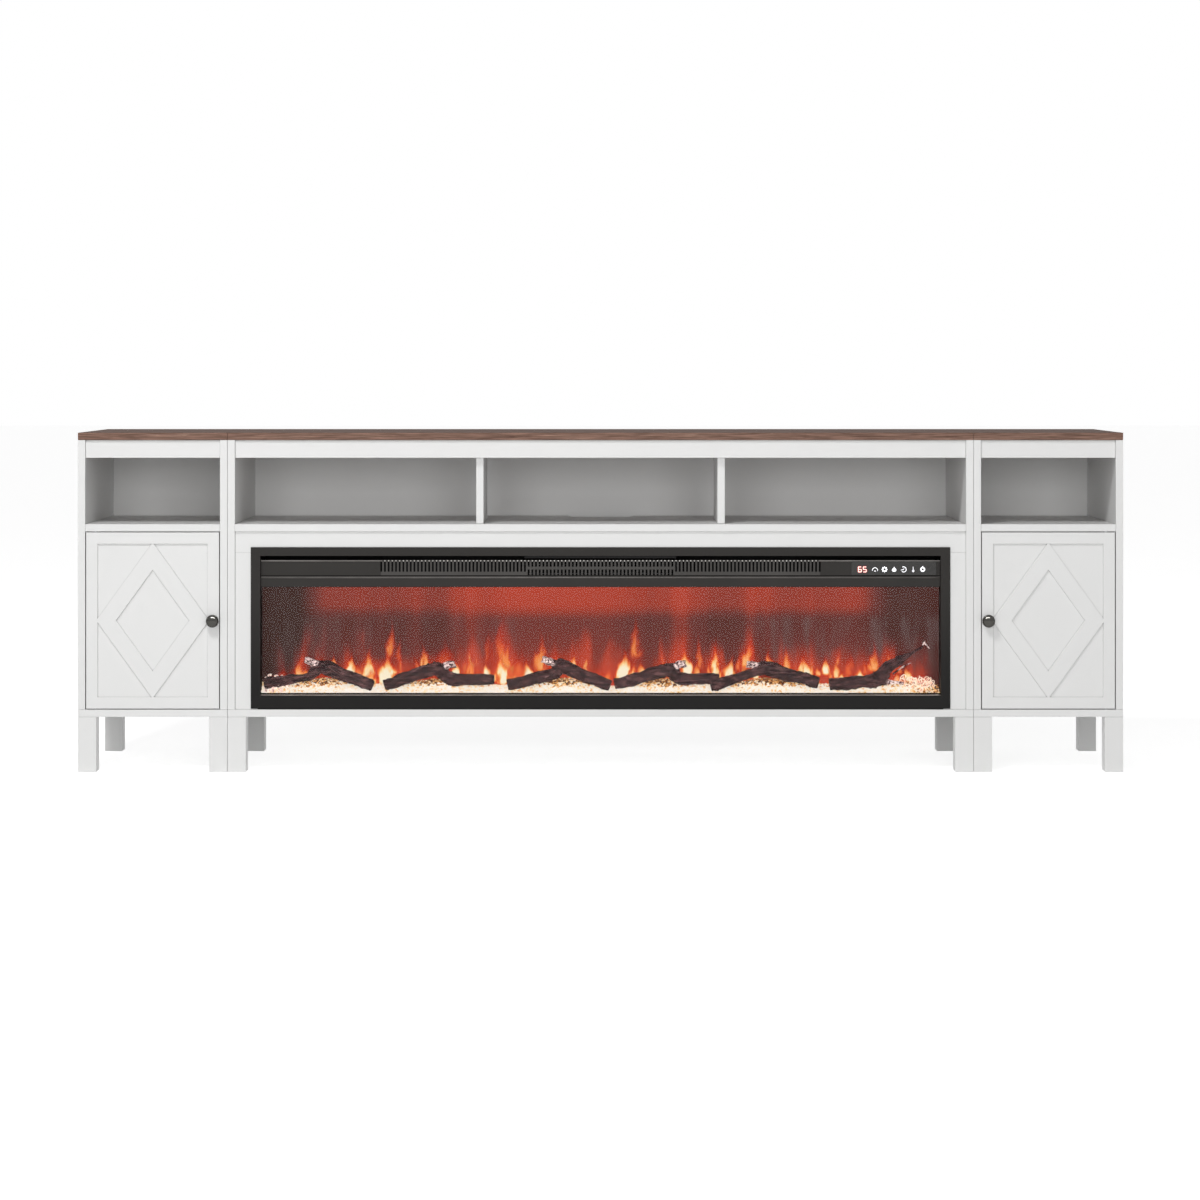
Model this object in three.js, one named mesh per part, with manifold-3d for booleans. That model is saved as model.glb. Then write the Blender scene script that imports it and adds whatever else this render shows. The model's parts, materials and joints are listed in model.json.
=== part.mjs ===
// Fireplace television stand: a console with an electric fire, between two side cabinets with doors.
// Lengths are millimetres. +X points to the right, +Y to the back and +Z up.
// The origin is on the floor, below the middle of the whole stand.

import * as THREE from 'three';
import { mergeVertices } from 'three/addons/utils/BufferGeometryUtils.js';
import Module from 'manifold-3d';

const wasm = await Module();
wasm.setup();

// Boards and modules
const boardThickness = 16;
const cabinetDepth = 400;
const sideCabinetWidth = 326;
const moduleGap = 0.5;
const seam = 0.2;
const legSize = 40;
const legHeight = 120;
const bayHeight = 183.5;
const railHeight = 39;
const railThickness = 16;
const frontSetback = 5;
const backPanelThickness = 3;
const backPanelInset = 14;
const grooveDepth = 5;
const grooveClearance = 0.3;

// Console bays
const middleBayWidth = 512;
const dividerDepth = 218;
const notchWidth = 145;
const notchDepth = 60;
const notchRadius = 24;

// Loose cupboard shelves and the pins that carry them
const looseShelfLevel = 190;
const looseShelfSetback = 45;
const looseShelfRearGap = 10;
const looseShelfSideGap = 0.8;
const shelfPinRadius = 2.5;
const shelfPinLength = 8;
const shelfPinEmbed = 6;
const shelfPinInset = 37;

// Doors
const doorThickness = 16;
const doorGap = 2;
const overlayThickness = 4;
const doorFrameWidth = 25;
const diamondBandWidth = 35;
const diamondLap = 3;
const knobRadius = 14;
const knobStemRadius = 6;
const knobBaseRadius = 8;
const knobBaseThickness = 2.5;
const knobHeadThickness = 11;
const knobProjection = 25;

// Door pivots: pins in the top and bottom edges, in the middle of the door's thickness
const pivotRadius = 2.5;
const pivotClearance = 0.3;
const pivotDepthInDoor = 15;
const pivotDepthInBoard = 8;
const pivotEndClearance = 0.5;
const pivotCollarRadius = 4.5;
const cornerSwingClearance = 0.4;

// Frame round the fire
const headerHeight = 34.5;
const stileWidth = 34.5;
const surroundThickness = 16;
const surroundJointWidth = 0.6;
const trimWidth = 1526;
const trimHeight = 352;
const trimLift = 2;
const trimSideWidth = 20.5;
const trimTopWidth = 18.9;
const trimBottomWidth = 27.7;
const trimThickness = 3;
const trimReturnDepth = 10;
const trimReturnThickness = 2;
const trimOverlap = 12;

// Fire casing of folded sheet
const casingDepth = 140;
const casingSheet = 1.5;
const casingClearance = 3;
const louvreWidth = 5;
const louvreHeight = 32;
const louvrePitch = 12;
const louvreFieldWidth = 300;
const cordInletRadius = 5;
const cordGlandRadius = 11;
const cordGlandLength = 7;
const cordInletFromSide = 60;
const cordInletHeight = 40;

// Outlet grille: one folded sheet above the glass
const airSlotHeight = 10.1;
const grilleSetback = 11;
const grilleSheet = 1.2;
const grilleFaceHeight = 34;
const grilleFlangeDepth = 12;
const grilleEndGap = 0.5;
const noseHeight = 5;
const noseProjection = 3;
const bandHeight = 18.5;
const slotWidth = 4;
const slotPitch = 8.05;
const slotHeight = 25;
const slotReach = 5;
const slotFieldWidth = 956;
const centreFieldWidth = 316;
const upperSlotHeight = 14;
const slotRowGap = 6;
const lowerSlotHeight = 12.5;

// Control panel in the grille
const panelWidth = 185;
const panelHeight = 30;
const panelThickness = 1.2;
const panelEndDistance = 9.5;
const panelBoxInset = 5;
const panelBoxDepth = 13;
const panelBoxClearance = 0.5;

// Glass, flame screen and ember bed
const glassThickness = 4;
const glassClearance = 0.3;
const glassSideGap = 0.8;
const glassTopLap = 8;
const glassBottomLap = 4;
const sillHeight = 5;
const trayThickness = 2;
const bedDepth = 52;
const bedCrust = 22;
const bedLevel = 12;
const moundHeight = 20;
const screenThickness = 3;
const screenGap = 1;
const logRadius = 12.5;
const logRise = 100;
const logBuriedDepth = 6;

// Flame spindle
const spindleRadius = 3;
const spindleHeight = 52;
const spindleBehindScreen = 34;
const spindleClearance = 0.3;
const bearingRadius = 8;
const bearingLength = 12;
const bearingWall = 2;
const petalPitch = 58;
const petalReach = 17;
const petalWidth = 12;
const petalThickness = 0.9;
const spindleMotorRadius = 24.5;
const spindleMotorLength = 18;
const spindleHubRadius = 6;
const spindleHubLength = 7;
const spindleSeatDepth = 14;

// Blower and heater, behind the middle of the grille
const blowerHalfLength = 160;
const blowerRadius = 22;
const blowerHubRadius = 7;
const bladeInnerRadius = 17;
const bladeThickness = 0.9;
const bladeLead = 3;
const bladeCount = 16;
const wheelDiscThickness = 2;
const wheelShaftRadius = 3;
const blowerSetback = 86;
const blowerHeight = 35;
const housingSheet = 1.5;
const housingEndGap = 3;
const housingEndThickness = 2;
const scrollGap = 3;
const scrollGrowth = 6;
const tongueGap = 3;
const ductTopGap = 5.5;
const ductFloorDrop = 2.5;
const ductFrontGap = 0.8;
const ductRampStart = 52;
const ductTopLength = 48;
const ductLipSetback = 9.5;
const ductLipGap = 0.3;
const housingPlateFront = 24;
const housingPlateRear = 120;
const housingPlateGap = 1.3;
const blowerMotorRadius = 19;
const blowerMotorLength = 24;
const blowerMotorSeat = 12;
const wheelShaftReach = 9;
const heaterSetback = 30;
const heaterDepth = 12;
const heaterEndGap = 0.5;
const heaterGap = 1.2;
const finPitch = 20;
const finThickness = 1;
const heaterBarHeight = 7;
const heaterBarDepth = 6;

// Cuts run past the faces that they open
const overrun = 2;

// Heights above the floor
const bottomBoardTop = legHeight + boardThickness;
const trimBottom = bottomBoardTop + trimLift;
const trimTop = trimBottom + trimHeight;
const shelfUnderside = trimTop + headerHeight;
const shelfTop = shelfUnderside + boardThickness;
const topBoardUnderside = shelfTop + bayHeight;
const standHeight = topBoardUnderside + boardThickness;
const windowBottom = trimBottom + trimBottomWidth;
const windowTop = trimTop - trimTopWidth;

// Widths and depths from the front plane
const consoleWidth = trimWidth + 2 * (stileWidth + boardThickness);
const sideCabinetOffset = consoleWidth / 2 + moduleGap + sideCabinetWidth / 2;
const backPanelFront = cabinetDepth - backPanelInset - backPanelThickness;
const railRear = frontSetback + railThickness;
const windowHalfWidth = trimWidth / 2 - trimSideWidth;

// Materials
const whiteLacquer = new THREE.MeshStandardMaterial({ color: '#e6e6e5', roughness: 0.45, metalness: 0 });
const walnutFoil = new THREE.MeshStandardMaterial({ color: '#75584b', roughness: 0.5, metalness: 0 });
const gunmetal = new THREE.MeshStandardMaterial({ color: '#4a4946', roughness: 0.3, metalness: 0.9 });
const zincSteel = new THREE.MeshStandardMaterial({ color: '#b4b6b8', roughness: 0.35, metalness: 0.9 });
const blackEnamel = new THREE.MeshStandardMaterial({ color: '#33322f', roughness: 0.55, metalness: 0.4 });
const blackSteel = new THREE.MeshStandardMaterial({ color: '#242424', roughness: 0.6, metalness: 0.6 });
const blackGloss = new THREE.MeshStandardMaterial({ color: '#1d1d1f', roughness: 0.15, metalness: 0 });
const fireGlass = new THREE.MeshStandardMaterial({ color: '#5a4038', roughness: 0.05, metalness: 0 });
const smokedAcrylic = new THREE.MeshStandardMaterial({ color: '#4b3230', roughness: 0.2, metalness: 0 });
const charredResin = new THREE.MeshStandardMaterial({ color: '#3c2a2c', roughness: 0.9, metalness: 0 });
const foilReflector = new THREE.MeshStandardMaterial({ color: '#c9c9cc', roughness: 0.15, metalness: 1 });
const motorPlate = new THREE.MeshStandardMaterial({ color: '#8d8f92', roughness: 0.4, metalness: 0.8 });
const galvanised = new THREE.MeshStandardMaterial({ color: '#9a9c9e', roughness: 0.45, metalness: 0.8 });
const heaterCeramic = new THREE.MeshStandardMaterial({ color: '#46433f', roughness: 0.7, metalness: 0.2 });

// A closed geometry as a solid
function toSolid(geometry) {
  const bare = geometry.index ? geometry.toNonIndexed() : geometry.clone();
  bare.deleteAttribute('normal');
  bare.deleteAttribute('uv');
  const merged = mergeVertices(bare);
  return new wasm.Manifold(new wasm.Mesh({
    numProp: 3,
    vertProperties: new Float32Array(merged.attributes.position.array),
    triVerts: new Uint32Array(merged.index.array),
  }));
}

// A solid as a geometry with flat faces
function toGeometry(solid) {
  const surface = solid.getMesh();
  const geometry = new THREE.BufferGeometry();
  geometry.setAttribute('position', new THREE.BufferAttribute(surface.vertProperties, 3));
  geometry.setIndex(new THREE.BufferAttribute(surface.triVerts, 1));
  const faceted = geometry.toNonIndexed();
  faceted.computeVertexNormals();
  return faceted;
}

function join(geometries) {
  const solids = geometries.map(toSolid);
  return toGeometry(solids.reduce((whole, solid) => whole.add(solid)));
}

function cut(base, tools) {
  const solids = tools.map(toSolid);
  return toGeometry(solids.reduce((whole, solid) => whole.subtract(solid), toSolid(base)));
}

// A box between two opposite corners, given in any order
function block(from, to) {
  const size = from.map((value, axis) => Math.abs(to[axis] - value));
  const middle = from.map((value, axis) => (to[axis] + value) / 2);
  return new THREE.BoxGeometry(...size).translate(...middle);
}

// A round bar between two points
function rod(radius, from, to, sides) {
  const start = new THREE.Vector3(...from);
  const along = new THREE.Vector3(...to).sub(start);
  const bar = new THREE.CylinderGeometry(radius, radius, along.length(), sides);
  const turn = new THREE.Quaternion().setFromUnitVectors(new THREE.Vector3(0, 1, 0), along.clone().normalize());
  const middle = start.addScaledVector(along, 1 / 2);
  return bar.applyQuaternion(turn).translate(...middle.toArray());
}

// An outline in depth and height, drawn out along X
function alongWidth(shape, from, to) {
  const bar = new THREE.ExtrudeGeometry(shape, { depth: to - from, bevelEnabled: false });
  const depthAxis = new THREE.Vector3(0, 1, 0);
  const heightAxis = new THREE.Vector3(0, 0, 1);
  const widthAxis = new THREE.Vector3(1, 0, 0);
  bar.applyMatrix4(new THREE.Matrix4().makeBasis(depthAxis, heightAxis, widthAxis));
  return bar.translate(from, 0, 0);
}

// An outline in width and height, drawn out along Y
function alongDepth(shape, from, to) {
  const plate = new THREE.ExtrudeGeometry(shape, { depth: to - from, bevelEnabled: false });
  return plate.rotateX(Math.PI / 2).translate(0, to, 0);
}

// An outline in width and depth, drawn out along Z
function alongHeight(shape, from, to) {
  return new THREE.ExtrudeGeometry(shape, { depth: to - from, bevelEnabled: false }).translate(0, 0, from);
}

// The section of a folded sheet: a line of points, and the same line one thickness to its left
function sheetSection(points, thickness) {
  const leftOf = (a, b) => new THREE.Vector2(a.y - b.y, b.x - a.x).normalize();
  const farSide = points.map((point, index) => {
    const sides = [];
    if (index > 0) sides.push(leftOf(points[index - 1], point));
    if (index < points.length - 1) sides.push(leftOf(point, points[index + 1]));
    const direction = sides.reduce((sum, side) => sum.clone().add(side)).clone().normalize();
    return point.clone().addScaledVector(direction, thickness / direction.dot(sides[0]));
  });
  return new THREE.Shape([...points, ...farSide.reverse()]);
}

function polar(centre, radius, degrees) {
  const angle = THREE.MathUtils.degToRad(degrees);
  return new THREE.Vector2(centre.x + radius * Math.cos(angle), centre.y + radius * Math.sin(angle));
}

function rectanglePoints(left, low, right, high) {
  return [
    new THREE.Vector2(left, low),
    new THREE.Vector2(right, low),
    new THREE.Vector2(right, high),
    new THREE.Vector2(left, high),
  ];
}

function piece(name, geometry, material) {
  const mesh = new THREE.Mesh(geometry, material);
  mesh.name = name;
  return mesh;
}

// Places at an even pitch that fill a width, on both sides of its middle
function evenPlaces(width, pitch) {
  const gaps = Math.max(1, Math.round(width / pitch));
  return Array.from({ length: gaps + 1 }, (_, index) => (index - gaps / 2) * pitch);
}

// The groove that holds a back panel, in a board that it crosses
function panelGroove(from, to) {
  const front = backPanelFront - grooveClearance;
  const rear = backPanelFront + backPanelThickness + grooveClearance;
  return block([from[0], front, from[1]], [to[0], rear, to[1]]);
}

// Top board with the groove in its underside
function topBoard(width) {
  const board = block([-width / 2, 0, topBoardUnderside], [width / 2, cabinetDepth, standHeight]);
  const reach = width / 2 - boardThickness + grooveDepth;
  const groove = panelGroove([-reach, topBoardUnderside - overrun], [reach, topBoardUnderside + grooveDepth]);
  return cut(board, [groove]);
}

// Upright side board on one side of a module: side is -1 on its left and 1 on its right
function sideBoard(width, side, grooveBottom) {
  const inner = side * (width / 2 - boardThickness);
  const outer = side * width / 2;
  const low = bottomBoardTop + seam;
  const high = topBoardUnderside - seam;
  const board = block([inner, 0, low], [outer, cabinetDepth, high]);
  const grooveFrom = [inner - side * overrun, grooveBottom];
  const grooveTo = [inner + side * grooveDepth, high + overrun];
  return cut(board, [panelGroove(grooveFrom, grooveTo)]);
}

// Fascia under the top board
function topRail(width) {
  const reach = width / 2 - boardThickness - seam;
  const low = topBoardUnderside - railHeight;
  return block([-reach, frontSetback, low], [reach, railRear, topBoardUnderside - seam]);
}

function backPanel(width, low) {
  const reach = width / 2 - boardThickness + grooveDepth - grooveClearance;
  const high = topBoardUnderside + grooveDepth - grooveClearance;
  return block([-reach, backPanelFront, low], [reach, backPanelFront + backPanelThickness, high]);
}

// Four square legs, flush with the corners of a module
function addLegs(group, width, name) {
  for (const [sideName, side] of [['left', -1], ['right', 1]]) {
    for (const [placeName, front] of [['front', 0], ['rear', cabinetDepth - legSize]]) {
      const outer = side * width / 2;
      const low = [outer, front, 0];
      const high = [outer - side * legSize, front + legSize, legHeight - seam];
      group.add(piece(`${name}_leg_${placeName}_${sideName}`, block(low, high), whiteLacquer));
    }
  }
}

// Door sizes, shared by the door and the boards that hold its pivots
const doorWidth = sideCabinetWidth - 2 * boardThickness - 2 * doorGap;
const doorBottom = bottomBoardTop + doorGap;
const doorTop = shelfUnderside - doorGap;
const doorHeight = doorTop - doorBottom;
const pivotSetback = doorThickness / 2;
const cornerRoom = doorGap - cornerSwingClearance;
const pivotFromEdge = (pivotSetback ** 2 - cornerRoom ** 2) / (2 * cornerRoom);
const pivotFromCentre = doorWidth / 2 - pivotFromEdge;
const pivotSides = 12;

// Holes for the pivot pins in the shelf above and the board below a door
function pivotHole(hingeSide, low, high) {
  const x = hingeSide * pivotFromCentre;
  return rod(pivotRadius + pivotClearance, [x, pivotSetback, low], [x, pivotSetback, high], pivotSides);
}

// One side cabinet: hand is -1 for the left one and 1 for the right one, with its hinges on that side
function sideCabinet(name, hand) {
  const group = new THREE.Group();
  const inside = sideCabinetWidth / 2 - boardThickness;
  const grooveBottom = bottomBoardTop;
  const add = (part, geometry, material) => group.add(piece(`${name}_${part}`, geometry, material));

  add('top_board', topBoard(sideCabinetWidth), walnutFoil);
  add('top_rail', topRail(sideCabinetWidth), whiteLacquer);

  const looseUnderside = bottomBoardTop + looseShelfLevel;
  const pinHeight = looseUnderside - seam - shelfPinRadius;
  const looseRear = backPanelFront - looseShelfRearGap;
  for (const [sideName, side] of [['outer_side', hand], ['inner_side', -hand]]) {
    const board = sideBoard(sideCabinetWidth, side, grooveBottom);
    const pins = [looseShelfSetback + shelfPinInset, looseRear - shelfPinInset].map((depth) => rod(
      shelfPinRadius,
      [side * (inside - shelfPinLength), depth, pinHeight],
      [side * (inside + shelfPinEmbed), depth, pinHeight],
      12,
    ));
    add(sideName, join([board, ...pins]), whiteLacquer);
  }

  const shelfReach = inside - seam;
  const shelfRear = backPanelFront - seam;
  const shelf = block([-shelfReach, 0, shelfUnderside], [shelfReach, shelfRear, shelfTop]);
  const upperHole = pivotHole(hand, shelfUnderside - overrun, shelfUnderside + pivotDepthInBoard);
  add('fixed_shelf', cut(shelf, [upperHole]), whiteLacquer);

  const half = sideCabinetWidth / 2;
  const base = block([-half, 0, legHeight], [half, cabinetDepth, bottomBoardTop]);
  const grooveReach = inside + grooveDepth;
  const groove = panelGroove([-grooveReach, bottomBoardTop - grooveDepth], [grooveReach, bottomBoardTop + overrun]);
  const lowerHole = pivotHole(hand, bottomBoardTop - pivotDepthInBoard, bottomBoardTop + overrun);
  add('bottom_board', cut(base, [groove, lowerHole]), whiteLacquer);

  add('back_panel', backPanel(sideCabinetWidth, bottomBoardTop - grooveDepth + grooveClearance), whiteLacquer);

  const looseReach = inside - looseShelfSideGap;
  const looseLow = [-looseReach, looseShelfSetback, looseUnderside];
  const looseHigh = [looseReach, looseRear, looseUnderside + boardThickness];
  add('loose_shelf', block(looseLow, looseHigh), whiteLacquer);

  addLegs(group, sideCabinetWidth, name);
  group.position.x = hand * sideCabinetOffset;
  return group;
}

// The raised layer of a door: a frame, and a diamond that laps it in the middle of each side
function doorOverlay() {
  const halfWidth = doorWidth / 2;
  const halfHeight = doorHeight / 2;
  const innerX = halfWidth - doorFrameWidth;
  const innerZ = halfHeight - doorFrameWidth;
  const frame = new THREE.Shape(rectanglePoints(-halfWidth, -halfHeight, halfWidth, halfHeight));
  frame.holes.push(new THREE.Path(rectanglePoints(-innerX, -innerZ, innerX, innerZ)));

  const outerX = innerX + diamondLap;
  const outerZ = innerZ + diamondLap;
  const shrink = 1 - diamondBandWidth * Math.hypot(outerX, outerZ) / (outerX * outerZ);
  const diamondPoints = (x, z) => [
    new THREE.Vector2(x, 0),
    new THREE.Vector2(0, z),
    new THREE.Vector2(-x, 0),
    new THREE.Vector2(0, -z),
  ];
  const diamond = new THREE.Shape(diamondPoints(outerX, outerZ));
  diamond.holes.push(new THREE.Path(diamondPoints(outerX * shrink, outerZ * shrink)));
  return join([alongDepth(frame, 0, overlayThickness), alongDepth(diamond, 0, overlayThickness)]);
}

// Turned knob, its foot on the door and its head towards the front
function knob() {
  const headStart = knobProjection - knobHeadThickness;
  const rimShare = 0.35;
  const neckShare = 0.7;
  const profile = new THREE.Path();
  profile.moveTo(0, 0);
  profile.lineTo(knobBaseRadius, 0);
  profile.lineTo(knobBaseRadius, knobBaseThickness);
  profile.quadraticCurveTo(knobStemRadius * neckShare, headStart / 2, knobStemRadius, headStart);
  profile.quadraticCurveTo(knobRadius, headStart, knobRadius, headStart + knobHeadThickness * rimShare);
  profile.quadraticCurveTo(knobRadius, knobProjection, 0, knobProjection);
  const points = profile.getPoints(3).map((point) => new THREE.Vector2(Math.max(point.x, 0), point.y));
  return join([new THREE.LatheGeometry(points, 20).rotateX(Math.PI)]);
}

// A pivot pin along Z with a collar in the gap between door and board: up is 1 at the top and -1 below
function pivotPin(up) {
  const gapStart = up > 0 ? doorTop : doorBottom;
  const inDoor = gapStart - up * (pivotDepthInDoor - pivotEndClearance);
  const inBoard = gapStart + up * (doorGap + pivotDepthInBoard - pivotEndClearance);
  const collarFrom = gapStart + up * seam;
  const collarTo = gapStart + up * (doorGap - seam);
  return join([
    rod(pivotRadius, [0, 0, inDoor], [0, 0, inBoard], pivotSides),
    rod(pivotCollarRadius, [0, 0, collarFrom], [0, 0, collarTo], pivotSides),
  ]);
}

// A door in a group whose origin is on the pivot axis, at floor level
function door(name, hand) {
  const group = new THREE.Group();
  const centre = -hand * pivotFromCentre;
  const slabFront = overlayThickness + seam - pivotSetback;
  const slabRear = doorThickness - pivotSetback;
  const slabLow = [centre - doorWidth / 2, slabFront, doorBottom];
  const slabHigh = [centre + doorWidth / 2, slabRear, doorTop];
  const holeRadius = pivotRadius + pivotClearance;
  const slab = cut(block(slabLow, slabHigh), [
    rod(holeRadius, [0, 0, doorTop - pivotDepthInDoor], [0, 0, doorTop + overrun], pivotSides),
    rod(holeRadius, [0, 0, doorBottom - overrun], [0, 0, doorBottom + pivotDepthInDoor], pivotSides),
  ]);
  group.add(piece(`${name}_slab`, slab, whiteLacquer));

  const overlay = piece(`${name}_overlay`, doorOverlay(), whiteLacquer);
  overlay.position.set(centre, -pivotSetback, (doorBottom + doorTop) / 2);
  group.add(overlay);

  const handle = piece(`${name}_knob`, knob(), gunmetal);
  const knobX = centre - hand * (doorWidth / 2 - doorFrameWidth / 2);
  handle.position.set(knobX, -pivotSetback, (doorBottom + doorTop) / 2);
  group.add(handle);

  group.add(piece(`${name}_top_pivot`, pivotPin(1), zincSteel));
  group.add(piece(`${name}_bottom_pivot`, pivotPin(-1), zincSteel));
  group.position.set(hand * (sideCabinetOffset + pivotFromCentre), pivotSetback, 0);
  return group;
}

// Fire sizes shared by its pieces
const openingHalfWidth = trimWidth / 2 - trimOverlap;
const openingTop = trimTop - trimOverlap;
const trimFront = frontSetback - seam - trimThickness;
const trimReturnRear = trimFront + trimReturnDepth;
const casingHalfWidth = openingHalfWidth - casingClearance;
const casingTop = openingTop - casingClearance;
const casingBottom = bottomBoardTop + seam;
const casingRear = frontSetback + casingDepth;
const chamberHalfWidth = casingHalfWidth - casingSheet;
const chamberFloor = casingBottom + casingSheet;
const grilleTop = windowTop - airSlotHeight;
const grilleBottom = grilleTop - grilleFaceHeight;
const bandTop = grilleBottom - noseHeight;
const bandBottom = bandTop - bandHeight;
const glassFront = trimReturnRear + glassClearance;
const glassRear = glassFront + glassThickness;
const trayFront = glassRear + glassClearance;
const bedFront = trayFront + trayThickness;
const bedRear = bedFront + bedDepth;
const screenFront = bedRear + screenGap;
const screenRear = screenFront + screenThickness;
const spindleDepth = screenRear + spindleBehindScreen;
const spindleLevel = chamberFloor + spindleHeight;
const chamberCeiling = bandBottom - casingSheet;
const blowerLevel = chamberCeiling + casingSheet + blowerHeight;
const housingHalfWidth = blowerHalfLength + housingEndGap + housingEndThickness;
const ductTop = windowTop - ductTopGap;
const ductFloor = grilleBottom - ductFloorDrop;

// Board round the fire, with fine joint lines where the upright boards meet the head
function fireSurround() {
  const reach = consoleWidth / 2 - boardThickness - seam;
  const low = bottomBoardTop + seam;
  const high = shelfUnderside - seam;
  const rear = frontSetback + surroundThickness;
  const board = block([-reach, frontSetback, low], [reach, rear, high]);
  const tools = [block([-openingHalfWidth, 0, low - overrun], [openingHalfWidth, rear + overrun, openingTop])];
  for (const side of [-1, 1]) {
    const from = [side * (openingHalfWidth - overrun), frontSetback - overrun, openingTop];
    const to = [side * (reach + overrun), frontSetback + surroundJointWidth, openingTop + surroundJointWidth];
    tools.push(block(from, to));
  }
  return cut(board, tools);
}

function console() {
  const group = new THREE.Group();
  const inside = consoleWidth / 2 - boardThickness;
  const add = (part, geometry, material) => group.add(piece(`console_${part}`, geometry, material));

  add('top_board', topBoard(consoleWidth), walnutFoil);
  add('top_rail', topRail(consoleWidth), whiteLacquer);
  add('left_side', sideBoard(consoleWidth, -1, shelfUnderside), whiteLacquer);
  add('right_side', sideBoard(consoleWidth, 1, shelfUnderside), whiteLacquer);

  // Shelf with the cable notch at the back of the middle bay
  const shelfReach = inside - seam;
  const shelfRear = backPanelFront - seam;
  const shelf = block([-shelfReach, 0, shelfUnderside], [shelfReach, shelfRear, shelfTop]);
  const notchFront = shelfRear - notchDepth;
  const notchShape = new THREE.Shape();
  notchShape.moveTo(-notchWidth / 2, shelfRear + overrun);
  notchShape.lineTo(-notchWidth / 2, notchFront + notchRadius);
  notchShape.absarc(-notchWidth / 2 + notchRadius, notchFront + notchRadius, notchRadius, Math.PI, 1.5 * Math.PI);
  notchShape.absarc(notchWidth / 2 - notchRadius, notchFront + notchRadius, notchRadius, -Math.PI / 2, 0);
  notchShape.lineTo(notchWidth / 2, shelfRear + overrun);
  const notchOutline = new THREE.Shape(notchShape.getPoints(6));
  const notch = alongHeight(notchOutline, shelfUnderside - overrun, shelfTop + overrun);
  add('shelf', cut(shelf, [notch]), whiteLacquer);

  for (const [sideName, side] of [['left', -1], ['right', 1]]) {
    const near = side * middleBayWidth / 2;
    const low = [near, railRear + seam, shelfTop + seam];
    const high = [near + side * boardThickness, railRear + seam + dividerDepth, topBoardUnderside - seam];
    add(`${sideName}_divider`, block(low, high), whiteLacquer);
  }

  add('back_panel', backPanel(consoleWidth, shelfUnderside), whiteLacquer);
  const half = consoleWidth / 2;
  add('bottom_board', block([-half, 0, legHeight], [half, cabinetDepth, bottomBoardTop]), whiteLacquer);
  add('fire_surround', fireSurround(), whiteLacquer);
  addLegs(group, consoleWidth, 'console');
  return group;
}

// Trim frame: a flat flange over the surround, folded back into the casing
function trimFrame() {
  const half = trimWidth / 2;
  const flange = new THREE.Shape(rectanglePoints(-half, trimBottom, half, trimTop));
  flange.holes.push(new THREE.Path(rectanglePoints(-windowHalfWidth, windowBottom, windowHalfWidth, windowTop)));
  const lipHalf = windowHalfWidth + trimReturnThickness;
  const lip = new THREE.Shape(rectanglePoints(
    -lipHalf, windowBottom - trimReturnThickness, lipHalf, windowTop + trimReturnThickness,
  ));
  lip.holes.push(new THREE.Path(rectanglePoints(-windowHalfWidth, windowBottom, windowHalfWidth, windowTop)));
  return join([
    alongDepth(flange, trimFront, trimFront + trimThickness),
    alongDepth(lip, trimFront, trimReturnRear),
  ]);
}

// Casing: an open-fronted box, the plate over the flame chamber, air louvres, a bearing and a cord inlet
function casing() {
  const outerLow = [-casingHalfWidth, frontSetback, casingBottom];
  const outerHigh = [casingHalfWidth, casingRear, casingTop];
  const hollowLow = [-chamberHalfWidth, frontSetback - overrun, chamberFloor];
  const hollowHigh = [chamberHalfWidth, casingRear - casingSheet, casingTop - casingSheet];
  const box = cut(block(outerLow, outerHigh), [block(hollowLow, hollowHigh)]);

  const plateFront = glassRear + glassSideGap;
  const plateLow = [-casingHalfWidth + casingSheet / 2, plateFront, chamberCeiling];
  const plateHigh = [casingHalfWidth - casingSheet / 2, casingRear - casingSheet / 2, chamberCeiling + casingSheet];
  const plate = block(plateLow, plateHigh);

  const bearingFrom = [-casingHalfWidth + casingSheet / 2, spindleDepth, spindleLevel];
  const bearingTo = [-chamberHalfWidth + bearingLength, spindleDepth, spindleLevel];
  const bearing = rod(bearingRadius, bearingFrom, bearingTo, 16);

  const inletX = chamberHalfWidth - cordInletFromSide;
  const inletZ = chamberFloor + cordInletHeight;
  const glandFrom = [inletX, casingRear - casingSheet / 2, inletZ];
  const gland = rod(cordGlandRadius, glandFrom, [inletX, casingRear + cordGlandLength, inletZ], 16);

  const louvreMiddle = (chamberCeiling + casingSheet + casingTop) / 2;
  const tools = evenPlaces(louvreFieldWidth, louvrePitch).map((x) => block(
    [x - louvreWidth / 2, casingRear - casingSheet - overrun, louvreMiddle - louvreHeight / 2],
    [x + louvreWidth / 2, casingRear + overrun, louvreMiddle + louvreHeight / 2],
  ));
  tools.push(rod(
    spindleRadius + spindleClearance,
    [-chamberHalfWidth + bearingWall, spindleDepth, spindleLevel],
    [-chamberHalfWidth + bearingLength + overrun, spindleDepth, spindleLevel],
    12,
  ));
  tools.push(rod(
    cordInletRadius,
    [inletX, casingRear - casingSheet - overrun, inletZ],
    [inletX, casingRear + cordGlandLength + overrun, inletZ],
    12,
  ));
  return cut(join([box, plate, bearing, gland]), tools);
}

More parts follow.
